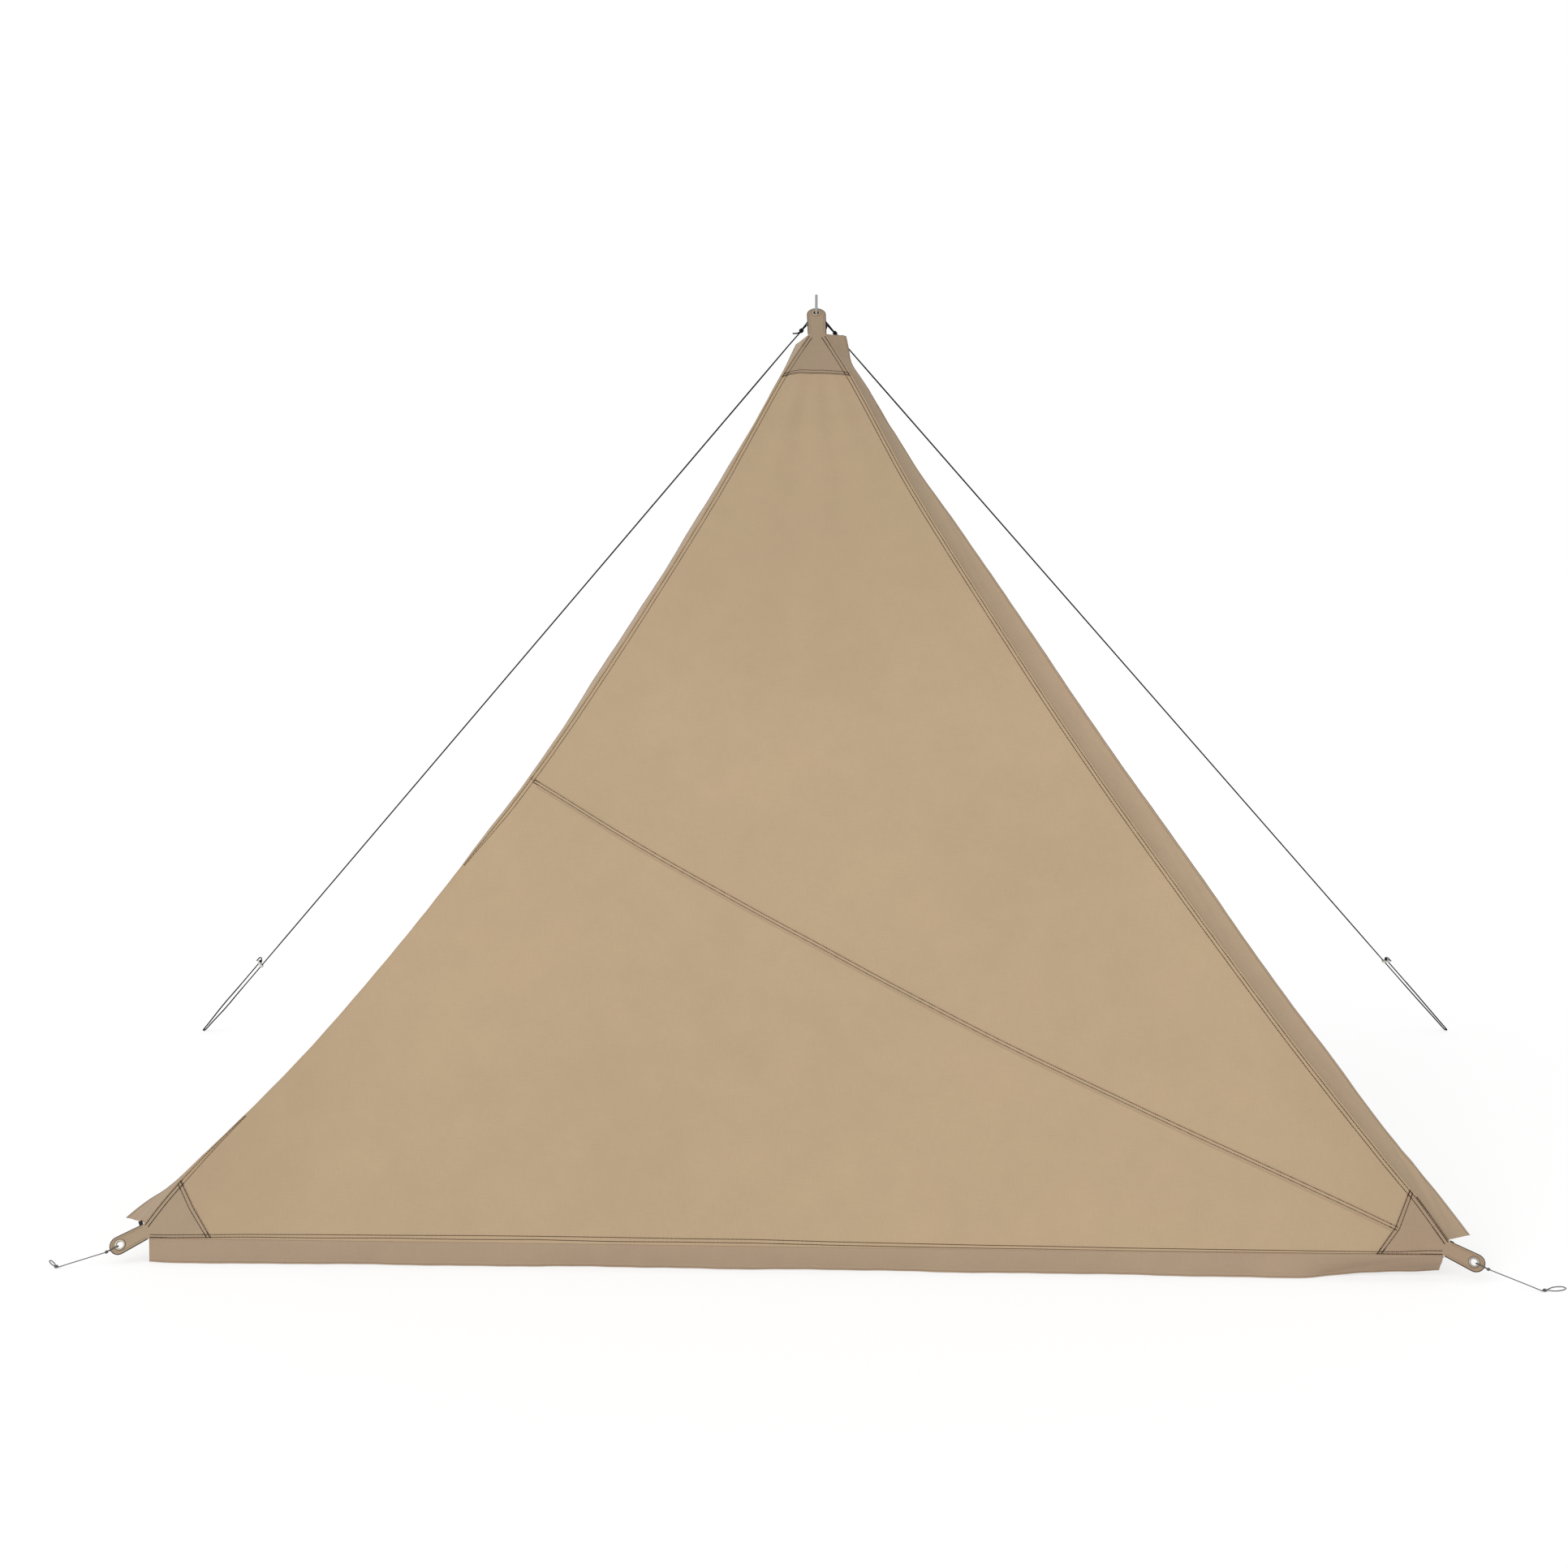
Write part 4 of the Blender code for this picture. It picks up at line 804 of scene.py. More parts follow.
PANEL = canvas("canvas_panel", (188, 164, 133))
HEM_CLOTH = canvas("canvas_hem", (185, 160, 131))
# Painted shadow: the seam cloth darkens beyond its lower row of stitches, where the raised seam
# casts shade
SEAM_CLOTH = canvas("canvas_seam", (185, 161, 131), (-0.0040, -0.0085, 0.91))
PATCH_CLOTH = {"top": canvas("canvas_top_patch", (170, 149, 124)),
               "left": canvas("canvas_left_patch", (177, 156, 130)),
               "right": canvas("canvas_right_patch", (174, 150, 125))}
SKIRT_CLOTH = {
    "left": canvas("canvas_left_skirt", (180, 159, 135)),
    # The right skirt darkens towards its root: painted shade under the panel's edge
    "right": canvas("canvas_right_skirt", (181, 158, 131), (0.060, 0.004, 0.87), 0.99),
    "bottom": canvas("canvas_bottom_skirt", (178, 155, 131), (0.040, 0.062, 0.97), 0.95)}
BACKING_CLOTH = canvas("canvas_backing", (178, 153, 124))
THREAD = thread_finish("brown_thread", (60, 36, 23))
BLACK_THREAD = thread_finish("dark_thread", (34, 22, 16))
PALE_THREAD = thread_finish("tan_thread", (140, 117, 93))
EDGING = braid("brown_edging", (84, 70, 58), 0.0022, 2)
# Painted contact shadow on the ring of cloth round each eyelet's flange
EDGE_SHADE = thread_finish("flange_painted_shadow", (84, 68, 54))
SKIRT_EDGE = braid("grey_skirt_edge", (128, 116, 103), 0.0022, 2)
WEBBING = webbing("black_webbing", (30, 29, 28))
BLACK_ROPE = braid("black_braid", (12, 12, 13), 0.0046, 3)
GREY_CORD = braid("grey_braid", (104, 104, 104), 0.0034, 3)
SILVER = metal("plated_eyelet", (158, 151, 138), 0.38, (160.0, 160.0, 160.0))
CREAM = metal("cream_eyelet", (184, 164, 134), 0.5, (160.0, 160.0, 160.0), 0.06)
STEEL = metal("zinc_steel", (158, 160, 160), 0.36, (900.0, 900.0, 20.0))
ALUMINIUM = metal("anodised_aluminium", (190, 191, 193), 0.34, (1100.0, 1100.0, 14.0))
RUNNER_PLASTIC = moulded("pale_plastic", (205, 204, 196), 0.34, 260.0, 0.0001)
RUBBER = moulded("black_rubber", (44, 43, 42), 0.72, 700.0, 0.0002)


# Cords, made first

ROPE_LOOK, CORD_LOOK = (BLACK_ROPE, "rope", "upper_pole"), (GREY_CORD, "cord", "tarp")
# Most pieces that a stretch of cord is cut into, and the turn that asks for one more
MOST_CUTS, CUT_TURN = 6, math.radians(9.0)


def smooth(points):
    """Catmull-Rom curve through points, cut finer where it turns."""
    path = [2 * points[0] - points[1]] + points + [2 * points[-1] - points[-2]]
    out = []
    for i in range(1, len(path) - 2):
        a, b, c, d = path[i - 1:i + 3]
        turn = (b - a).angle(c - b, 0.0) + (c - b).angle(d - c, 0.0)
        steps = max(1, min(MOST_CUTS, round(turn / CUT_TURN)))
        scale = (c - b).length
        m = (c - a).normalized() * scale
        n = (d - b).normalized() * scale
        for k in range(steps):
            t = k / steps
            out.append(b * (1 + 2 * t) * (1 - t) ** 2 + m * t * (1 - t) ** 2
                       + c * t * t * (3 - 2 * t) + n * t * t * (t - 1))
    return out + [points[-1]]


def guy_plan(side):
    """Main points and directions of a guy rope."""
    peg = PEG[side]
    out = Vector((peg.x, peg.y, 0.0)).normalized()
    across = Vector((-out.y, out.x, 0.0))
    cap_z = eyelet_frame("top").translation.z - CAP_BELOW_EYELET
    eye_z = cap_z + ROPE / 2 + GAP + (0.0 if side == "left" else ROPE + GAP)
    slope = 0.0
    for _ in range(6):
        start = BEND_START + BEND_RADIUS * math.sin(slope)
        drop = BEND_RADIUS * (1 - math.cos(slope))
        slope = math.atan2(eye_z - drop - peg.z, math.hypot(peg.x, peg.y) - start)
    down = out * math.cos(slope) - UP * math.sin(slope)
    first = out * start + UP * (eye_z - drop)
    upright = across.cross(down)
    return SimpleNamespace(
        out=out, across=across, eye_z=eye_z, slope=slope, down=down, first=first,
        knot=first + down * (KNOT_AT[side] - start), runner=peg - down * RUNNER_AT[side],
        upright=upright if upright.z > 0 else -upright, roll=STRAND_ROLL[side],
        turn=across if side == "left" else -across)


def strand_offset(plan, share):
    """From the middle of the doubled lower end to its back strand, turning flat with share."""
    angle = plan.roll + (math.copysign(math.pi / 2, plan.roll or 1.0) - plan.roll) * share
    return (plan.upright * math.cos(angle) + plan.across * math.sin(angle)) * STRANDS / 2


# The tail above a runner: distance back up the rope, and away from it
RUNNER_TAIL = ((0.006, 0.0), (0.013, 0.0), (0.0165, 0.0020), (0.0180, 0.0060),
               (0.0165, 0.0100), (0.0120, 0.0122), (0.0030, 0.0130), (-0.0050, 0.0130))


def guy_route(side):
    """The rope: tail, knot, eye round the pin, knot, main line, loop at the peg, runner, tail."""
    p = guy_plan(side)
    near = ROPE / 2 + GAP / 2
    tail = p.knot + p.down * (KNOT_LENGTH / 2 + ROPE_TAIL)
    route = [tail + p.turn * (0.010 + near) + UP * 0.012,
             tail - p.down * ROPE_TAIL / 2 + p.turn * 0.006 + UP * 0.004]
    half_knot = p.down * (KNOT_LENGTH / 2 + 0.001)
    legs = [(p.knot + half_knot, near), (p.knot - half_knot, near),
            (p.first + p.down * 0.010, EYE_RADIUS * 0.75), (p.first, EYE_RADIUS * 0.93)]
    level = UP * p.eye_z
    bend = (level + p.out * (BEND_START + BEND_RADIUS * math.sin(p.slope / 2))
            - UP * BEND_RADIUS * (1 - math.cos(p.slope / 2)))
    beside = p.turn * EYE_RADIUS * 0.98
    route += [c + p.turn * w for c, w in legs] + [bend + beside]
    for i in range(9):
        angle = math.pi * i / 8
        route.append(level + (p.turn * math.cos(angle) - p.out * math.sin(angle)) * EYE_RADIUS)
    route += [bend - beside] + [c - p.turn * w for c, w in legs[::-1]]

    start = route[-1] + p.down * 0.05 + p.turn * near
    offset = strand_offset(p, 0.0)
    stop = p.runner - offset - p.down * 0.03
    route += [start + (stop - start) * i / 20 for i in range(21)]
    turn_at = RUNNER_AT[side] - STRANDS / 2
    steps = [0.0, RUNNER_TRAVEL + 0.018] + list(np.linspace(STRAIGHT_RUN, turn_at, 7))
    strands = [(d, rise((d - STRAIGHT_RUN) / (turn_at - STRAIGHT_RUN))) for d in steps]
    route += [p.runner + p.down * d - strand_offset(p, s) for d, s in strands]
    end = strand_offset(p, 1.0)
    for angle in (-math.pi / 4, 0.0, math.pi / 4):
        route.append(p.runner + p.down * turn_at + end * math.sin(angle)
                     + p.down * STRANDS / 2 * math.cos(angle))
    route += [p.runner + p.down * d + strand_offset(p, s) for d, s in strands[::-1]]
    away = offset.normalized()
    return route + [p.runner + offset - p.down * back + away * aside
                    for back, aside in RUNNER_TAIL]


def peg_route(side):
    """The peg cord: through the eyelet, back round the tab's end, knot, and its ground loop."""
    knot, aim = PEG_KNOT[side], LOOP_AIM[side]
    end = TAB_LENGTH[side] - root_depth(side)
    hitch = end + HITCH_REACH
    half = PEG_CORD / 2
    near = half + GAP / 2
    high = TAB[1] + GAP + PLATE + half + GAP
    low = -GAP - PLATE - ROLL - half - GAP
    middle = TAB[1] / 2
    rim = end - EYELET_MARGIN[side] + EYELET_BORE / 2 - half - 2 * GAP
    steps = [(hitch + 0.004, middle - near), (hitch - 0.004, middle - near),
             (end + 0.002, low + 0.0012), (rim + 0.006, low - 0.0002), (rim + 0.002, low - 0.0002),
             (rim - 0.0012, (low + middle) / 2 - 0.0006), (rim - 0.002, middle),
             (rim - 0.0012, (high + middle) / 2 + 0.0006), (rim + 0.002, high + 0.0002),
             (rim + 0.006, high + 0.0002), (end + 0.002, high - 0.0012),
             (hitch - 0.004, middle + near), (hitch + 0.004, middle + near)]
    route = [on_tab(side, a, 0.0, w) for a, w in steps]
    along = Vector((math.cos(aim), math.sin(aim), 0.0))
    across = Vector((-along.y, along.x, 0.0)) * (1.0 if side == "left" else -1.0)
    lead = route[-1]
    mouth = PEG_KNOT_LENGTH / 2
    entry = knot - along * (mouth + 0.005) + across * near
    route += [lead + (entry - lead) * share for share in (0.25, 0.5, 0.75, 1.0)]
    low_by = UP * (half + GAP - knot.z)
    wide = LOOP_WIDTH[side] / 2
    start = knot + along * (mouth + 0.001)
    shape = ((0.0, near, 0.0), (0.10, 0.22 * wide, 0.5), (0.30, 0.72 * wide, 1.0),
             (0.58, wide, 1.0), (0.82, 0.80 * wide, 1.0), (0.96, 0.38 * wide, 1.0))
    there, back = [[start + along * LOOP_LENGTH * t + across * w * way + low_by * d
                    for t, w, d in shape] for way in (1.0, -1.0)]
    route += [knot + along * t + across * near for t in (-mouth - 0.001, mouth - 0.0015)]
    route += there + back[::-1]
    return route + [knot + along * t - across * near for t in (mouth - 0.0015, -mouth - 0.003)]


def wraps(name, centre, axis, wide, halves, turns, length, radius, look):
    """Turns of cord wound side by side round the strands of a knot, their ends tucked in."""
    axis, wide = Vector(axis).normalized(), Vector(wide)
    wide = (wide - axis * wide.dot(axis)).normalized()
    high = axis.cross(wide)
    path = []
    count = round(turns * 14)
    for i in range(count + 1):
        t = i / count
        angle = 2 * math.pi * turns * t
        tuck = 1 - 0.5 * (1 - min(1.0, min(t, 1 - t) * turns * 2.5)) ** 2
        path.append(centre + axis * (t - 0.5) * length + wide * halves[0] * tuck * math.cos(angle)
                    + high * halves[1] * tuck * math.sin(angle))
    return tube(name, path, radius, *look, 10)


# Short end that hangs from the right rope between its eye and its knot, from its start down
HANGING_END = ((0.0, 0.0, 0.0), (0.0008, -0.001, -0.0040), (0.0006, -0.001, -0.0120),
               (-0.0034, -0.001, -0.0215))

for side in SIDES:
    plan = guy_plan(side)
    path = smooth(guy_route(side))
    # The braid is squeezed at the pin, the knot and the runner's travel, and swells between them
    away = np.array([math.hypot(p.x, p.y) for p in path])
    radii = (ROPE / 2 + (SQUEEZED - ROPE) / 2 * rise((away - 0.030) / 0.008)
             + (LOFT - SQUEEZED) / 2 * rise((away - 0.10) / 0.06))
    below = np.array([(p - plan.runner).dot(plan.down) for p in path])
    apart = np.maximum(-below, below - RUNNER_TRAVEL)
    radii = np.minimum(radii, SQUEEZED / 2 + (LOFT - SQUEEZED) / 2 * rise((apart - 0.02) / 0.03))
    radii = np.minimum(radii, [p.z for p in path])
    rope = tube(f"rope_{side}", path, radii, *ROPE_LOOK)
    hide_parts(f"guy_rope_{side}")
    knot = wraps(f"rope_knot_{side}", plan.knot, plan.down, plan.across,
                 (SQUEEZED * 1.5, SQUEEZED), 3, KNOT_LENGTH - ROPE + 0.001, SQUEEZED / 2,
                 ROPE_LOOK)
    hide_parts(f"guy_knot_{side}")
    if side == "right":
        hung = [plan.first + plan.down * 0.0175 + Vector(step) for step in HANGING_END]
        tube("rope_end_right", smooth(hung), ROPE / 2, *ROPE_LOOK)
    offset = strand_offset(plan, 0.0)
    seat = plan.runner + offset - plan.down * (RUNNER_THICK / 2 + ROPE + GAP)
    stopper = wraps(f"rope_stopper_{side}", seat, plan.down, offset,
                    (ROPE + 0.0001, ROPE + 0.0001), 2, 0.0037, ROPE / 2, ROPE_LOOK)
    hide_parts(f"guy_stopper_{side}")

for side in SIDES:
    path = smooth(peg_route(side))
    line = tube(f"peg_line_{side}", path, PEG_CORD / 2, *CORD_LOOK, 10)
    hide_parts(f"peg_cord_{side}")
    end = TAB_LENGTH[side] - root_depth(side) + HITCH_REACH
    centre = on_tab(side, end, 0.0, TAB[1] / 2)
    ahead = on_tab(side, end + 1.0, 0.0, TAB[1] / 2) - centre
    size = ((PEG_CORD * 1.5 + 0.0002, PEG_CORD + 0.0001), 3, PEG_KNOT_LENGTH - PEG_CORD,
            PEG_CORD / 2)
    hitch = wraps(f"peg_line_hitch_{side}", centre, ahead, OUT, *size, CORD_LOOK)
    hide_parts(f"peg_hitch_{side}")
    aim = LOOP_AIM[side]
    knot = wraps(f"peg_line_knot_{side}", PEG_KNOT[side], (math.cos(aim), math.sin(aim), 0.0),
                 (-math.sin(aim), math.cos(aim), 0.0), *size, CORD_LOOK)
    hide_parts(f"peg_knot_{side}")


# Panel, two widths of cloth

def outline_table(side):
    """A side of the whole panel as tables of v and u, from its foot up."""
    root, top = root_reach(side), side_length(side) - root_reach("top")
    u, v = edge(side, np.linspace(root, top, 400))
    foot = APEX[side][0] + (root if side == "left" else -root)
    return np.concatenate([[0.0], v]), np.concatenate([[foot], u])


OUTLINES = {side: outline_table(side) for side in SIDES}
# The bottom hem's fold lies clear of the line on which the flap swings
FOLD, CLOTH_FOOT = 0.0012, 0.0004
SEAM_ALL = np.concatenate([SEAM, [in_corner("right", -root_depth("right"), 0.0)]])
SEAM_HIGH, SEAM_FOOT = SEAM_ALL[0, 1], SEAM_ALL[-1, 1]
PANEL_TOP = SLOPE_HEIGHT - root_depth("top")
# Columns of points beside an outline, by their distance from it
INSETS = np.array([0.0, 0.003, 0.007, 0.0115, 0.018, 0.028])


def limit(side, v):
    return np.interp(v, *OUTLINES[side])


def seam_at(v):
    return np.interp(v, SEAM_ALL[::-1, 1], SEAM_ALL[::-1, 0])


def lower_ends(v, gap=0.0):
    """Left and right end of the lower width, which the seam cuts short on the right."""
    right = limit("right", v)
    return limit("left", v), np.where(v > SEAM_FOOT, np.minimum(seam_at(v) - gap, right), right)


def upper_ends(v, gap=0.0):
    """Left and right end of the upper width, which the seam cuts short on the left."""
    left = limit("left", v)
    return np.where(v < SEAM_HIGH, np.maximum(seam_at(v) + gap, left), left), limit("right", v)


def width_of(name, low, high, ends, count, rows):
    """One width of cloth, u by v, finer beside its ends."""
    v = np.linspace(low, high, rows + 1)[:, None]
    start, stop = ends(v, GAP)
    wide = stop - start
    near = np.minimum(INSETS, wide * 0.45 * INSETS / INSETS[-1])
    share = np.linspace(0.0, 1.0, count + 1)[1:-1]
    inner = near[:, -1:] + share * (wide - 2 * near[:, -1:])
    u = start + np.concatenate([near, inner, wide - near[:, ::-1]], 1)
    v = np.repeat(v, u.shape[1], 1)
    return slab(name, skin(u, v, CLOTH), skin(u, v, 0.0), np.stack([u, v], -1), PANEL)


def flat_area(low, high, ends):
    start, stop = ends(np.linspace(low, high, 2000))
    return float(np.mean(stop - start) * (high - low))


lower = width_of("tarp_lower_width", CLOTH_FOOT, SEAM_HIGH - 0.004, lower_ends, 150, 110)
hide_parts("lower_panel")
upper = width_of("tarp_upper_width", SEAM_FOOT + 0.004, PANEL_TOP, upper_ends, 120, 190)
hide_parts("upper_panel")


# Hems and seam

# Folded hem: distance inside the edge, and height
HEM_PROFILE = np.array([
    (0.0220, -0.0003), (0.0222, -0.0010), (0.0215, -0.0014), (0.0160, -0.0013),
    (0.0145, -0.0009), (0.0130, -0.0013), (0.0110, -0.0011), (0.0065, -0.0012),
    (0.0050, -0.0009), (0.0035, -0.0012), (0.0004, -0.0011), (-0.0007, -0.0007),
    (-0.0011, 0.0002), (-0.0008, 0.0009), (0.0002, 0.0012), (0.0014, 0.0010),
    (0.0013, 0.0009), (0.0003, 0.0009), (-0.0003, 0.0003), (0.0002, -0.0003)])
# Flat-felled seam, stitched down along two channels: place across it, and height
FELLED = np.array([
    (-0.0124, -0.0001), (-0.0121, 0.0005), (-0.0105, 0.0009), (-0.0080, 0.0010),
    (-0.0056, 0.0009), (-0.0040, 0.0004), (-0.0026, 0.0010), (0.0, 0.0012), (0.0026, 0.0010),
    (0.0040, 0.0004), (0.0052, 0.0009), (0.0070, 0.0010), (0.0078, 0.0006), (0.0080, -0.0001)])
CHANNELS = (-0.0040, 0.0040)


def hem(side):
    inside, height = HEM_PROFILE.T
    clear = HEM_WIDTH / math.tan(half_angle("left")) + 0.004
    if side == "bottom":
        s = np.linspace(APEX["left"][0] + clear, APEX["right"][0] - clear, 260)[:, None]
        inside = inside + FOLD
        u, v = np.broadcast_arrays(s, inside)
    else:
        s = np.linspace(clear, side_length(side) - clear, 260)[:, None]
        u, v = edge(side, s, inside)
    piece = band(f"tarp_{side}_hem", skin(u, v, height), paired(s, inside), HEM_CLOTH)
    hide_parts(f"{side}_hem")
    return piece


def felled_seam():
    across, height = FELLED.T
    line = np.concatenate([SEAM[2:-1], SEAM[-1:] * 0.9 + SEAM[-2:-1] * 0.1])
    u, v = np.moveaxis(np.stack([shifted(line, x) for x in across], 1), -1, 0)
    run = np.linspace(0.0, 2.9, len(line))[:, None]
    pucker = 1 + 0.25 * np.sin(2 * math.pi * run / 0.037 + np.sin(run * 9))
    piece = slab("tarp_diagonal_seam", skin(u, v, CLOTH + height * pucker), skin(u, v, CLOTH),
                 paired(run, across), SEAM_CLOTH)
    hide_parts("diagonal_seam")
    return piece


hems = {side: hem(side) for side in SIDES + ("bottom",)}
seam = felled_seam()


# Side skirts

# Width of a skirt's own hem, and half its thickness
SKIRT_HEM, SKIRT_HEM_HALF = 0.010, CLOTH * 0.95
# The bend beyond the sewn root: how far it reaches inside and outside the edge
BEND_IN, BEND_OUT = 0.006, 0.008
# Soft folds: height, start up the side, distance out there, its rise, width, end
SKIRT_FOLDS = {
    "left": ((0.0045, 0.05, 0.018, 0.16, 0.006, 0.34), (-0.0030, 0.05, 0.036, 0.10, 0.008, 0.30),
             (0.0012, 0.60, 0.060, -0.08, 0.010, 1.20), (0.0012, 1.50, 0.010, 0.07, 0.010, 2.10)),
    "right": ((0.0032, 0.06, 0.016, 0.26, 0.006, 0.32), (-0.0026, 0.10, 0.012, 0.22, 0.007, 0.40),
              (0.0022, 0.32, 0.060, -0.15, 0.008, 0.66), (0.0018, 0.90, 0.012, 0.10, 0.008, 1.40),
              (-0.0018, 1.50, 0.055, -0.09, 0.009, 2.00), (0.0020, 2.10, 0.010, 0.12, 0.008, 2.60),
              (0.0036, 2.72, 0.060, -0.13, 0.007, 3.12), (-0.0024, 2.80, 0.065, -0.12, 0.007, 3.10)),
}


def side_skirt(side):
    share = np.linspace(0.0, 1.0, 240)[:, None]
    s = SKIRT_INSET + share * (side_length(side) - 2 * SKIRT_INSET)
    tip = s - SKIRT_FLARE * (1 - share) ** 8 - SKIRT_SLANT * share ** 8
    turn = np.radians(np.interp(share, SHARES, table(TURNS[side])))
    # Along the cloth: the sewn root, a rounded bend, then the free flap
    bend = np.linspace(0.0, 1.0, 6)
    flap = np.array([0.0105 + 0.003 * k for k in range(17)] + [0.0597, 0.0603, 0.065, 0.070])
    run = np.concatenate([[-SKIRT_ROOT], -BEND_IN + (BEND_IN + BEND_OUT) * bend, flap])
    level = np.concatenate([[-SKIRT_ROOT], -BEND_IN * (1 - bend) ** 2, 0 * flap])
    reach = np.concatenate([[0.0], BEND_OUT * bend ** 2, flap])
    free = np.clip(run / SKIRT_WIDTH, 0.0, 1.0)
    wave = (0.0016 * wave_of(s, 0.62, 0.5 if side == "left" else 2.2)
            + 0.0006 * wave_of(s, 0.27, 1.0))
    lift = wave * free ** 1.5 * rise(share * 14) * rise((1 - share) * 14)
    for size, start, low, climb, wide, stop in SKIRT_FOLDS[side]:
        window = rise((s - start + 0.03) / 0.05) * rise((stop - s) / 0.10)
        away = run - (low + climb * (s - start))
        lift = lift + size * window * free ** 0.5 * np.exp(-(away / wide) ** 2)
    along = s + (tip - s) * free
    thick = np.where(run > SKIRT_WIDTH - SKIRT_HEM, SKIRT_HEM_HALF, CLOTH / 2)
    slope = turn * np.clip((run + BEND_IN) / (BEND_IN + BEND_OUT), 0.0, 1.0)
    base = (BACK[0] + BACK[1]) / 2 + ripple(*edge(side, s))
    faces = []
    for sign in (1.0, -1.0):
        out = sign * thick + lift
        u, v = edge(side, along, -(level + reach * np.cos(turn) + out * np.sin(slope)))
        w = base - reach * np.sin(turn) + out * np.cos(slope)
        faces.append(skin(u, v, w - ripple(u, v)))
    piece = slab(f"tarp_{side}_skirt", *faces, paired(along, run), SKIRT_CLOTH[side])
    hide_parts(f"{side}_skirt")
    return piece, faces


skirts = {side: side_skirt(side) for side in SIDES}


# Bottom skirt, on the flap's own body

HINGE = lean((0.0, 0.0), HEM_BACK)
# Places down the skirt, as shares of its depth, its own hem from HEM_FROM on
DEPTHS = np.array([-0.006, 0.03, 0.07, 0.12, 0.2, 0.3, 0.42, 0.55, 0.68, 0.80, 0.868, 0.876,
                   0.94, 1.0])
HEM_FROM, ROLL_RADIUS = 0.87, 0.0006


def bottom_skirt():
    """The skirt, its two faces and the rolled top edge on the line on which it swings."""
    share = np.linspace(0.0, 1.0, 260)[:, None]
    x = APEX["left"][0] + BOTTOM_INSET + share * (BASE_WIDTH - 2 * BOTTOM_INSET)
    swing = np.radians(np.interp(share, SHARES, table(TURNS["bottom"])))
    angle = swing * np.interp(DEPTHS, (0.0, 0.2, 0.6, 1.0), (0.0, 0.6, 1.0, 1.0))
    free = np.maximum(DEPTHS, 0.0)
    sway = (0.0022 * wave_of(x, 0.62, 0.4) + 0.0013 * wave_of(x, 0.27, 1.9)
            + 0.0006 * wave_of(x, 0.09)) * free ** 1.3
    crease = np.interp(share, (0.90, 0.925, 0.985, 1.0), (0.95, 0.80, 0.12, 0.05))
    fold = np.exp(-((DEPTHS - crease) / 0.13) ** 2) * rise((share - 0.895) / 0.03)
    sway = sway + 0.0040 * fold * free ** 0.5
    tails = 0.002 * (rise((0.012 - share) / 0.012) + rise((share - 0.99) / 0.01))
    drop = BOTTOM_SKIRT * DEPTHS - tails * DEPTHS ** 3
    faces = []
    for sign in (-1.0, 1.0):
        out = sign * np.where(DEPTHS > HEM_FROM, SKIRT_HEM_HALF, CLOTH / 2) + sway
        y = HINGE.y + drop * np.sin(angle) + out * np.cos(angle)
        z = HINGE.z - GAP - CLOTH / 2 - drop * np.cos(angle) + out * np.sin(angle)
        faces.append(np.stack(np.broadcast_arrays(x, y, z), -1))
    flap = slab("tarp_bottom_skirt", *faces, paired(x, BOTTOM_SKIRT * DEPTHS),
                SKIRT_CLOTH["bottom"], "bottom_flap")
    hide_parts("bottom_skirt")
    roll = tube("flap_top_roll", [(k, HINGE.y, HINGE.z) for k in x[::7, 0]], ROLL_RADIUS,
                SKIRT_CLOTH["bottom"], "canvas", "bottom_flap", 10)
    return flap, faces, roll


flap, flap_faces, flap_roll = bottom_skirt()


# Corners

BARREL = EYELET_BORE / 2 + BARREL_WALL


def tab_rows(corner):
    """Rows of a tab as (distance along its axis, half width)."""
    start = 0.003 - root_depth(corner)
    end = TAB_LENGTH[corner] - root_depth(corner)
    radius, root_half = TAB_WIDTH[corner] / 2, TAB_ROOT[corner] / 2
    straight = end - radius - start
    rows = [(start + straight * i / 14, root_half + (radius - root_half) * i / 14)
            for i in range(15)]
    for i in range(1, 13):
        angle = math.radians(86.0) * i / 12
        rows.append((end - radius + radius * math.sin(angle), radius * math.cos(angle)))
    return rows


def tab_ring(corner, rows, w):
    """Line round a tab, out along one side and back along the other."""
    return ([on_tab(corner, a, -h, w) for a, h in rows]
            + [on_tab(corner, a, h, w) for a, h in rows[::-1]])


def make_tab(corner, rows):
    """Patch and tab in one, with a hole for the eyelet."""
    across = np.linspace(-1.0, 1.0, 17)
    outline = patch_outline(corner)
    stops = np.linspace(-1.0, 1.0, 3)
    if corner == "top":
        stops = (outline[:, 0] - outline[0, 0]) / (outline[-1, 0] - outline[0, 0]) * 2 - 1
    far = np.stack([np.interp(across, stops, outline[:, k]) for k in (0, 1)], -1)
    near = np.array([in_corner(corner, -root_depth(corner), b * TAB_ROOT[corner] / 2)
                     for b in across])
    if (far[0] - far[-1]).dot(near[0] - near[-1]) < 0:
        far = far[::-1]
    share = np.linspace(0.0, 1.0, 19)[:, None, None]
    patch = far[None] * (1 - share) + near[None] * share
    u, v = patch[..., 0], patch[..., 1]
    # The stitched border lies lower than the rest of the patch
    faces = []
    for part, w in ((skin(u, v, FRONT[1] - 0.0003 * (1 - rise(share[:, 0] * 7))), TAB[1]),
                    (skin(u, v, FRONT[0]), TAB[0])):
        beyond = np.array([[on_tab(corner, a, b * h, w) for b in across] for a, h in rows])
        faces.append(np.concatenate([part, beyond]))
    tab_uv = np.array([[in_corner(corner, a, b * h) for b in across] for a, h in rows])
    tab = slab(f"tarp_{corner}_tab", *faces, np.concatenate([patch, tab_uv]), PATCH_CLOTH[corner])
    cut_hole(tab, eyelet_frame(corner), BARREL + GAP)
    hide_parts(f"{corner}_tab")


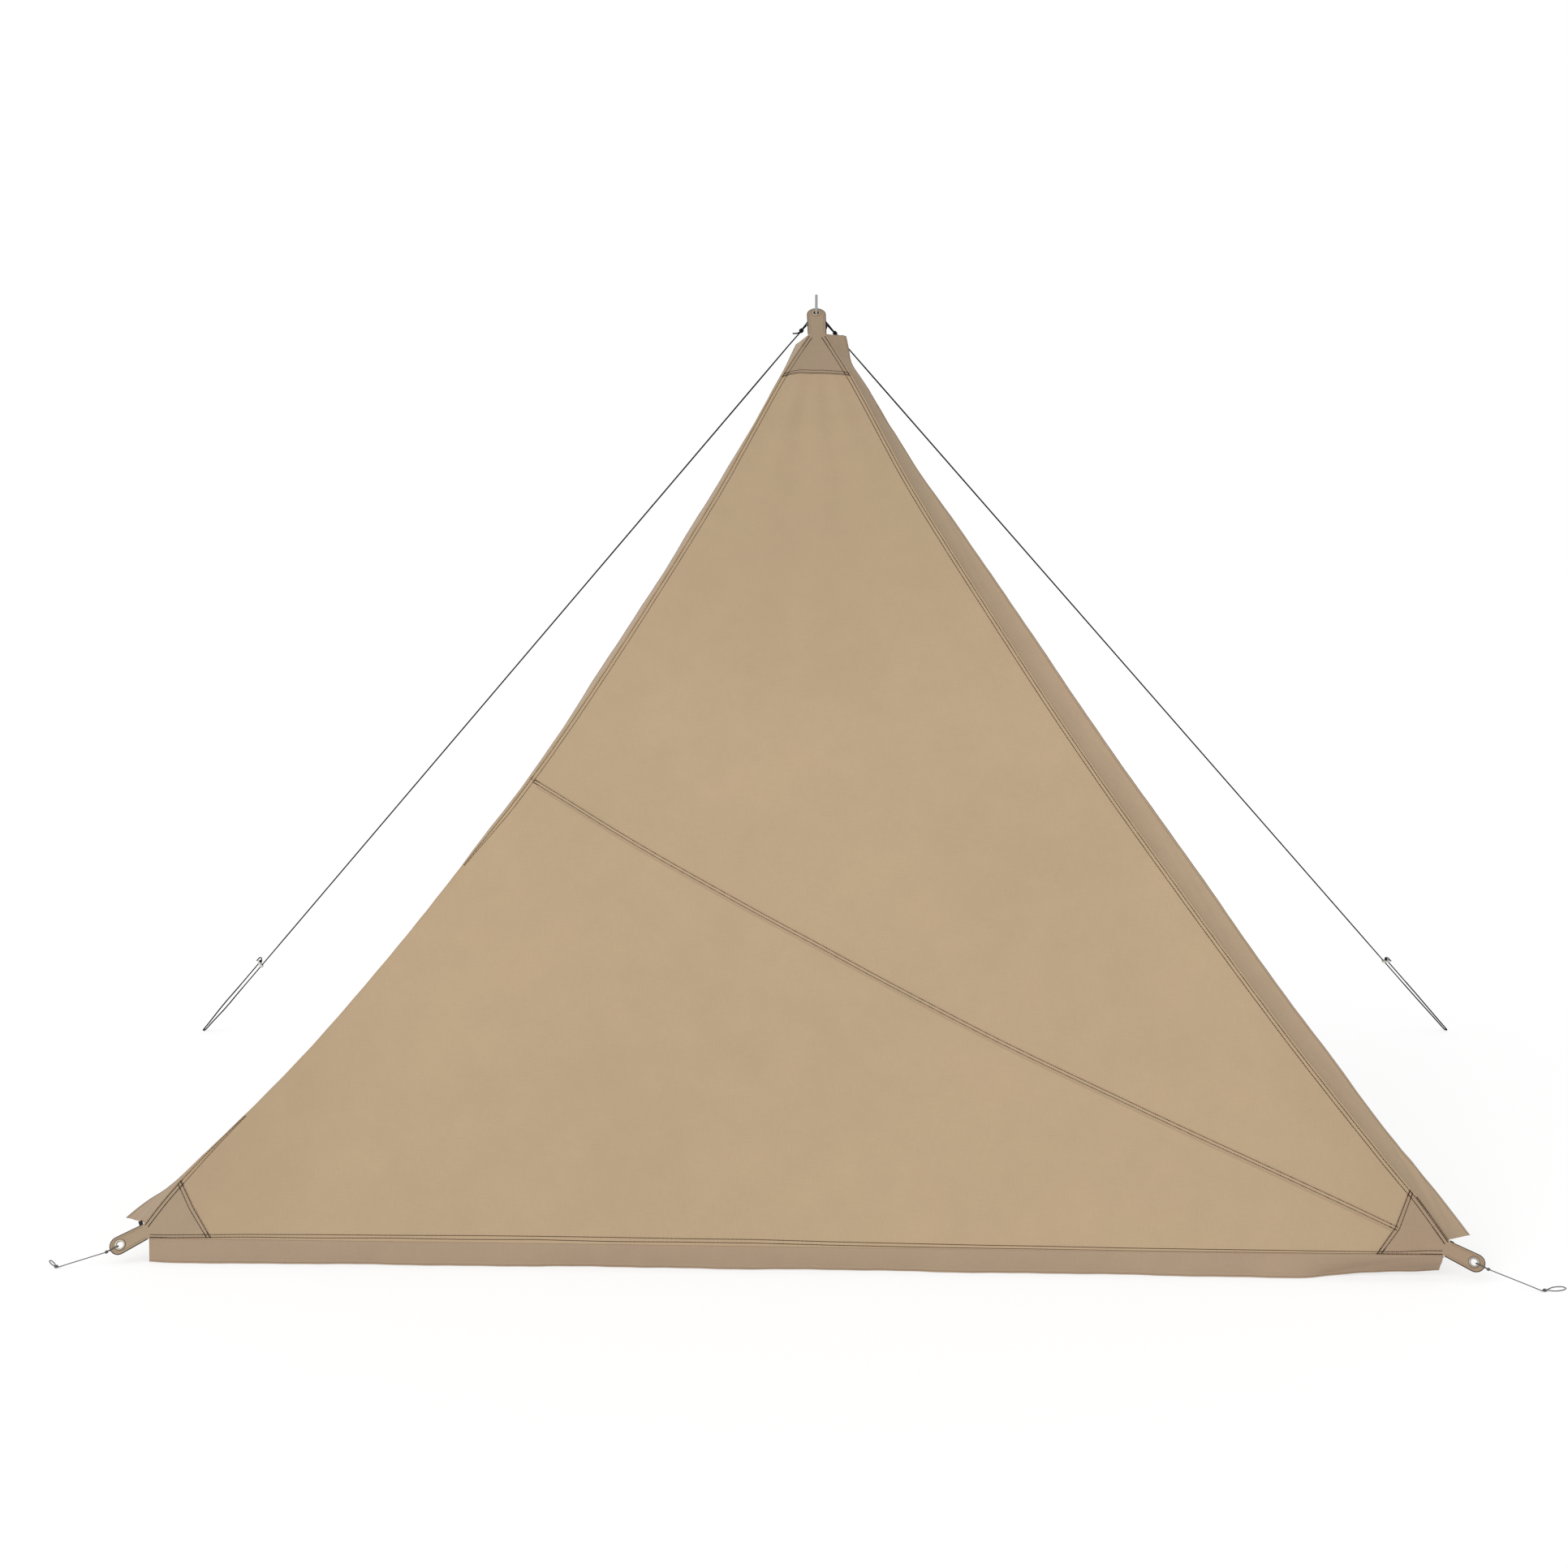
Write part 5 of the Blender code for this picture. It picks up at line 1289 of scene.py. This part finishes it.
def cut_hole(piece, place, radius):
    sides = 40
    verts = [tuple(place @ Vector((math.cos(t) * radius, math.sin(t) * radius, h)))
             for h in (-0.01, 0.01) for t in np.arange(sides) * 2 * math.pi / sides]
    mesh = bpy.data.meshes.new("drill")
    mesh.from_pydata(verts, [], through_rows(2, sides))
    face_out(mesh)
    drill = bpy.data.objects.new("drill", mesh)
    bpy.context.collection.objects.link(drill)
    hole = piece.modifiers.new("Hole", "BOOLEAN")
    hole.operation, hole.solver, hole.object = "DIFFERENCE", "EXACT", drill
    bpy.context.view_layer.update()
    done = piece.evaluated_get(bpy.context.evaluated_depsgraph_get())
    cut = bpy.data.meshes.new_from_object(done)
    piece.modifiers.clear()
    piece.data = cut
    bpy.data.objects.remove(drill)
    soften(cut, 40.0)


def make_backing(corner):
    spread_by = math.tan(half_angle(corner))
    inner, outer = min(PATCHES[corner][:3]) - 0.004, root_depth(corner) + 0.014
    narrow = BACKING_INSET / math.cos(half_angle(corner))
    a = -inner + (inner - outer) * np.linspace(0.0, 1.0, 15)[:, None]
    b = np.maximum(-a * spread_by - narrow, 0.004) * np.linspace(-1.0, 1.0, 15)
    u, v = in_corner(corner, a, b)
    backing = slab(f"tarp_{corner}_backing", skin(u, v, BACK[1]), skin(u, v, BACK[0]),
                   paired(u, v), BACKING_CLOTH)
    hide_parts(f"{corner}_backing")


def make_strap(corner):
    """Webbing strap with soft edges."""
    near_a = -(SKIRT_INSET - 0.005) * math.cos(half_angle(corner))
    reach = -near_a * math.tan(half_angle(corner))
    proud = {"left": STRAP_PROUD, "right": 0.003, "top": STRAP_PROUD / 2}[corner]
    low = reach - 0.004 if corner != "top" else reach + proud
    middle, thick = (STRAP[0] + STRAP[1]) / 2, STRAP_THICK / 2
    half = [(0.0, 0.0), (0.0004, 0.7), (0.0012, 1.0), (STRAP_WIDTH / 2, 0.92),
            (STRAP_WIDTH - 0.0012, 1.0), (STRAP_WIDTH - 0.0004, 0.7)]
    shape = [(x, h * thick) for x, h in half]
    shape += [(STRAP_WIDTH - x, -h * thick) for x, h in half]
    b_line = np.linspace(-(reach + proud), low, 24)
    sections = np.array([[on_tab(corner, near_a + x, b, middle + h) for x, h in shape]
                         for b in b_line])
    uv = np.array([[(b, x) for x, h in shape] for b in b_line])
    strap = band(f"tarp_{corner}_strap", sections, uv, WEBBING)
    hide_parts(f"{corner}_strap")


def make_eyelet(corner):
    """Flanged eyelet, its washer behind the tab, and the cloth pressed up round the flange in a dark
    colour that is painted contact shadow.
    """
    place = eyelet_frame(corner)
    bore, wide, edge_of_washer = EYELET_BORE / 2, FLANGE / 2, WASHER / 2
    front, tail = TAB[1] + GAP, -GAP - PLATE
    profile = [(bore, tail), (bore + 0.0001, tail - 0.0004), (bore + 0.0006, tail - 0.0007),
               (bore + 0.0013, tail - 0.0006), (bore + 0.0016, tail - 0.0002),
               (BARREL, tail - 0.0001), (BARREL, front), (wide - 0.0003, front),
               (wide, front + 0.0002), (wide - 0.0002, front + 0.0006),
               (wide - 0.0012, front + 0.0010), (wide - 0.0028, front + 0.0012),
               (bore + 0.0012, front + 0.0011), (bore + 0.0003, front + 0.0007),
               (bore, front + 0.0002)]
    eyelet = lathe(f"plated_{corner}_eyelet", profile, place,
                   CREAM if corner == "top" else SILVER)
    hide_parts(f"{corner}_eyelet")
    profile = [(BARREL + GAP, tail), (edge_of_washer - 0.0003, tail),
               (edge_of_washer, -GAP - PLATE * 0.6), (edge_of_washer, -GAP), (BARREL + GAP, -GAP)]
    washer = lathe(f"plated_{corner}_washer", profile, place, SILVER)
    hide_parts(f"{corner}_washer")
    # Ring of cloth pressed up round the flange, coloured as painted contact shadow
    profile = [(wide + x, TAB[1] + h) for x, h in ((0.0, -0.0002), (0.0001, 0.0003),
                                                   (0.0006, 0.0004), (0.0011, 0.0001),
                                                   (0.0011, -0.0002))]
    lathe(f"tarp_{corner}_eyelet_shadow_ring", profile, place, EDGE_SHADE)


for corner in CORNERS:
    rows = tab_rows(corner)
    make_tab(corner, rows)
    # Overlocked edge round the tab
    tube(f"tarp_{corner}_edging", tab_ring(corner, rows, TAB[1] / 2), 0.0015, EDGING, "canvas",
         "tarp", 8)
    make_backing(corner)
    make_strap(corner)
    make_eyelet(corner)


# Stitches

# Distance of a hem's two rows from its edge
ROW_LOW, ROW_HIGH = 0.0050, 0.0145
# Heights of the bottom hem's two rows above the fold
HIGH_ROW = ((-1.57, 0.0088), (-1.386, 0.0127), (-1.202, 0.0147), (-1.019, 0.0154),
            (-0.836, 0.0172), (-0.654, 0.0179), (-0.472, 0.0176), (-0.291, 0.0167),
            (-0.110, 0.0169), (0.071, 0.0140), (0.251, 0.0122), (0.431, 0.0105), (0.610, 0.0098),
            (0.789, 0.0082), (0.967, 0.0078), (1.145, 0.0074), (1.322, 0.0071), (1.46, 0.0074),
            (1.535, 0.0114))
LOW_ROW = ((-1.57, 0.0020), (-1.386, 0.0062), (-1.202, 0.0063), (-1.019, 0.0085),
           (-0.836, 0.0075), (-0.654, 0.0095), (-0.472, 0.0073), (-0.291, 0.0082),
           (-0.110, 0.0081), (0.071, 0.0056), (0.251, 0.0040), (0.431, 0.0030), (0.610, 0.0027),
           (0.789, 0.0018), (1.145, 0.0018), (1.322, 0.0018), (1.535, 0.0027))
# Height of the back of a hem, where its rows show behind
HEM_BEHIND = -0.0010
# Distance of a patch's two rows inside its folded edge
PATCH_ROWS = (0.003, 0.0125)

front_thread, back_thread, dark_thread = Thread(), Thread(), Thread()


def dark_row(line, width=FULL_STITCH, step=DENSE_STEP):
    """Row that looks darker, because rows cross there or the thread lies in shade."""
    front_row(dark_thread, line, width, step)


def hem_row(u, heights, raised=0.0):
    return np.stack([u, np.interp(u, *zip(*heights)) + raised], -1)


for side in SIDES:
    left, length = side == "left", side_length(side)
    low, high = root_reach(side) + 0.002, length - root_reach("top") - 0.002
    # On the left the rows show only by the corner and from below the seam up
    stretches = [(low, 0.40), (1.25, high)] if left else [(low, high)]
    for inset in (ROW_LOW, ROW_HIGH):
        for first, last in stretches:
            s = np.linspace(first, last, 400)
            inward = inset
            if left:
                # They draw together towards the stretch where neither shows
                apart = np.maximum(1 - rise((s - 0.15) / 0.27), rise((s - 1.22) / 0.26))
                least = 0.0022 + (inset - ROW_LOW) / 4
                inward = least + (inset - least) * apart
            front_row(front_thread, edge_line(side, s, inward), STITCH_WIDTH if left else 0.0033)
        for start, stop in ((low, low + (0.135 if left else 0.048)), (high - 0.042, high)):
            dark_row(edge_line(side, np.linspace(start, stop, 24), inset + 0.0002))
    s = np.linspace(0.05, length - 0.05, 400)
    back_row(back_thread, edge_line(side, s, ROW_HIGH), HEM_BEHIND)
    back_row(back_thread, edge_line(side, s, 0.0075), BACK[0] - SUNK)

start, stop = (APEX["left"][0] + root_reach("left") + 0.002,
               APEX["right"][0] - root_reach("right") - 0.002)
for heights in (HIGH_ROW, LOW_ROW):
    front_row(front_thread, hem_row(np.linspace(start, stop, 400), heights), FULL_STITCH)
for ends in ((start, start + 0.045), (stop - 0.055, stop)):
    dark_row(hem_row(np.linspace(*ends, 12), LOW_ROW, 0.0002))
for inset in (ROW_HIGH, ROW_LOW):
    back_row(back_thread, [(start + 0.03, inset), (stop - 0.03, inset)], HEM_BEHIND)

for away in CHANNELS:
    line = shifted(SEAM[1:], away)
    u, v = spaced(line, STITCH).T
    base = np.where(top_of(u, v) > CLOTH, FRONT[1] - 0.0007, CLOTH)
    front_thread.row(skin(u, v, base), np.array(OUT), FULL_STITCH if away < 0 else 0.0034)
    back_row(back_thread, line, 0.0)


def patch_rows():
    """The two rows of every patch as lines of (u, v)."""
    for corner in CORNERS:
        outline = patch_outline(corner)
        for inside in PATCH_ROWS:
            yield outline + unit(np.array(APEX[corner]) - outline) * inside


for line in patch_rows():
    front_row(front_thread, line)
    back_row(back_thread, line * 0.86 + line.mean(0) * 0.14, BACK[0])
# Edge row of the right patch
dark_row(edge_line("right", np.linspace(0.045, 0.172, 60), 0.0016), STITCH_WIDTH, 0.0048)
# Crossings of the patch rows with the hem rows, and of the seam with the right patch
for line in patch_rows():
    for k, j in ((0, 1), (-1, -2)):
        dark_row([line[k], line[k] + unit(line[j] - line[k]) * 0.018])
for away in CHANNELS:
    tail = SEAM[-1] + np.array([[-0.012], [0.010]]) * unit(SEAM[-1] - SEAM[-5])
    dark_row(shifted(tail, away), STITCH_WIDTH)

dark_thread.piece("tarp_dark_stitches", BLACK_THREAD)
front_stitches = front_thread.piece("tarp_front_stitches", THREAD)
back_thread.piece("tarp_back_stitches", THREAD)

flap_thread = Thread()
line = flap_faces[1][:, 1] * 0.35 + flap_faces[1][:, 2] * 0.65
flap_thread.row(spaced(line, STITCH), np.array((0.0, 1.0, 0.0)))
flap_stitches = flap_thread.piece("flap_top_stitches", THREAD, "bottom_flap")

# Rows round the tabs, front and back
tab_thread = Thread()
for corner in CORNERS:
    rows = tab_rows(corner)
    end, wide = rows[-1][0], TAB_WIDTH[corner] / 2
    inside = 0.0055 if corner != "top" else 0.0065
    kept = [(a, h - inside) for a, h in rows if a < end - wide]
    for i in range(13):
        angle = math.pi / 2 * i / 12
        kept.append((end - wide + (wide - inside) * math.sin(angle),
                     (wide - inside) * math.cos(angle)))
    for w, way in ((TAB[1], UP), (TAB[0], -UP)):
        ring = tab_ring(corner, kept, w)
        del ring[len(kept)]
        tab_thread.row(spaced(np.array([tuple(q) for q in ring]), 0.0040),
                       np.array(eyelet_frame(corner).to_3x3() @ way), 0.0010, 0.0035)
tab_thread.piece("tarp_tab_stitches", PALE_THREAD)


def bore_shade_washer():
    """Black rubber washer under the top eyelet, cut to slide on the pin; its black, seen through the
    bore, is painted shade.
    """
    place = eyelet_frame("top")
    sides, thick, radius = 40, 0.0012, 0.0110
    under = -GAP - PLATE - ROLL - GAP
    middle = under - thick / 2
    slot = PIN_DIAMETER / 2 + GAP
    slot_long = slot / math.cos(TOP_TAB_TILT) + thick * math.tan(TOP_TAB_TILT) / 2
    up = place.to_3x3().inverted() @ UP
    pin = place.inverted() @ (UP * place.translation.z)
    centre = pin + up * ((middle - pin.z) / up.z)
    long_axis = Vector((up.x, up.y, 0.0)).normalized()
    side_axis = Vector((-long_axis.y, long_axis.x, 0.0))
    verts = []
    for x, y, h in ((slot, slot_long, 0.0), (slot, slot_long, -thick),
                    (radius, radius, -thick), (radius, radius, 0.0)):
        for k in range(sides):
            angle = 2 * math.pi * k / sides
            spot = centre + side_axis * x * math.cos(angle) + long_axis * y * math.sin(angle)
            verts.append(tuple(place @ (spot + UP * (thick / 2 + h))))
    make("top_washer_bore_shade", verts, round_rows(4, sides), RUBBER, None, "tarp", 30.0)


# Dark washer that puts painted shade in the top eyelet's bore
bore_shade_washer()

# Pale rows that hold the skirts' own folded edges
HEM_STITCH = 0.0008
pale_flap = Thread()
for face, out in ((flap_faces[0], (0.0, -1.0, 0.0)), (flap_faces[1], (0.0, 1.0, 0.0))):
    line = face[:, 12] * 0.85 + face[:, 11] * 0.15
    pale_flap.row(spaced(line, STITCH), np.array(out), HEM_STITCH)
pale_flap.piece("flap_edge_stitches", PALE_THREAD, "bottom_flap")
pale = Thread()
for side in SIDES:
    faces = skirts[side][1]
    for face, other in (faces, faces[::-1]):
        line = face[:, -2] * 0.9 + face[:, -3] * 0.1
        out = unit(np.cross(face[:, -1] - face[:, -2], np.gradient(line, axis=0)))
        out *= np.sign((out * (face[:, -2] - other[:, -2])).sum(1))[:, None]
        places = spaced(np.concatenate([line, out], 1), STITCH)
        pale.row(places[:, :3], places[:, 3:], HEM_STITCH)
for side in SIDES:
    front, back = skirts[side][1]
    tube(f"tarp_{side}_skirt_edge", (front[:, -1] + back[:, -1]) / 2, 0.0012, SKIRT_EDGE,
         "canvas", "tarp", 8)
pale.piece("skirt_edge_stitches", PALE_THREAD)

# Flat areas of the two widths of cloth

flat_area(0.0, SEAM_HIGH, lower_ends)
flat_area(SEAM_FOOT, PANEL_TOP, upper_ends)

# CAD pieces that keep their shape

for finish, *names in ((ALUMINIUM, "pole_lower", "pole_middle", "pole_upper"),
                       (RUBBER, "pole_foot_cap", "pole_top_cap"), (STEEL, "pole_pin"),
                       (RUNNER_PLASTIC, "runner_left", "runner_right")):
    for name in names:
        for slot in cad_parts[name].material_slots:
            slot.material = finish


# Floor, light and background

WHITE = (1.0, 1.0, 1.0, 1.0)
FLOOR_SIZE = 150.0
# World's light on the object, floor's tone for it and as seen, and the floor's own glow
WORLD_LIGHT, FLOOR_TONE, FLOOR_TONE_SEEN, FLOOR_GLOW = 0.74, 0.93, 0.42, 0.63


def seen(tree):
    """1 for camera, glossy and transmission rays, else 0."""
    path = node(tree, "LightPath")
    both = node(tree, "Math", path.outputs["Is Camera Ray"], path.outputs["Is Glossy Ray"],
                operation="MAXIMUM")
    return node(tree, "Math", both, path.outputs["Is Transmission Ray"], operation="MAXIMUM")


floor_mesh = bpy.data.meshes.new("floor")
floor_mesh.from_pydata([(x * FLOOR_SIZE, y * FLOOR_SIZE, 0.0)
                        for x, y in ((-1, -1), (1, -1), (1, 1), (-1, 1))], [], [(0, 1, 2, 3)])
floor = bpy.data.objects.new("floor", floor_mesh)
bpy.context.collection.objects.link(floor)
pale_floor = bpy.data.materials.new("pale_floor")
pale_floor.use_nodes = True
tree = pale_floor.node_tree
tree.nodes.clear()
lit = node(tree, "BsdfDiffuse", spread(tree, seen(tree), FLOOR_TONE, FLOOR_TONE_SEEN))
glow = node(tree, "Emission", WHITE, times(tree, seen(tree), FLOOR_GLOW))
node(tree, "OutputMaterial", node(tree, "AddShader", lit, glow))
floor_mesh.materials.append(pale_floor)

world = bpy.data.worlds.new("studio")
bpy.context.scene.world = world
world.use_nodes = True
tree = world.node_tree
tree.nodes.clear()
strength = spread(tree, seen(tree), WORLD_LIGHT, 1.0)
node(tree, "OutputWorld", node(tree, "Background", WHITE, strength))

key = bpy.data.objects.new("key", bpy.data.lights.new("key", "SUN"))
bpy.context.collection.objects.link(key)
key.data.energy = 0.97
key.data.angle = math.radians(40.0)
key.rotation_euler = Vector((0.55, 0.60, -0.58)).to_track_quat("-Z", "Y").to_euler()

bpy.context.scene.view_settings.view_transform = "Standard"
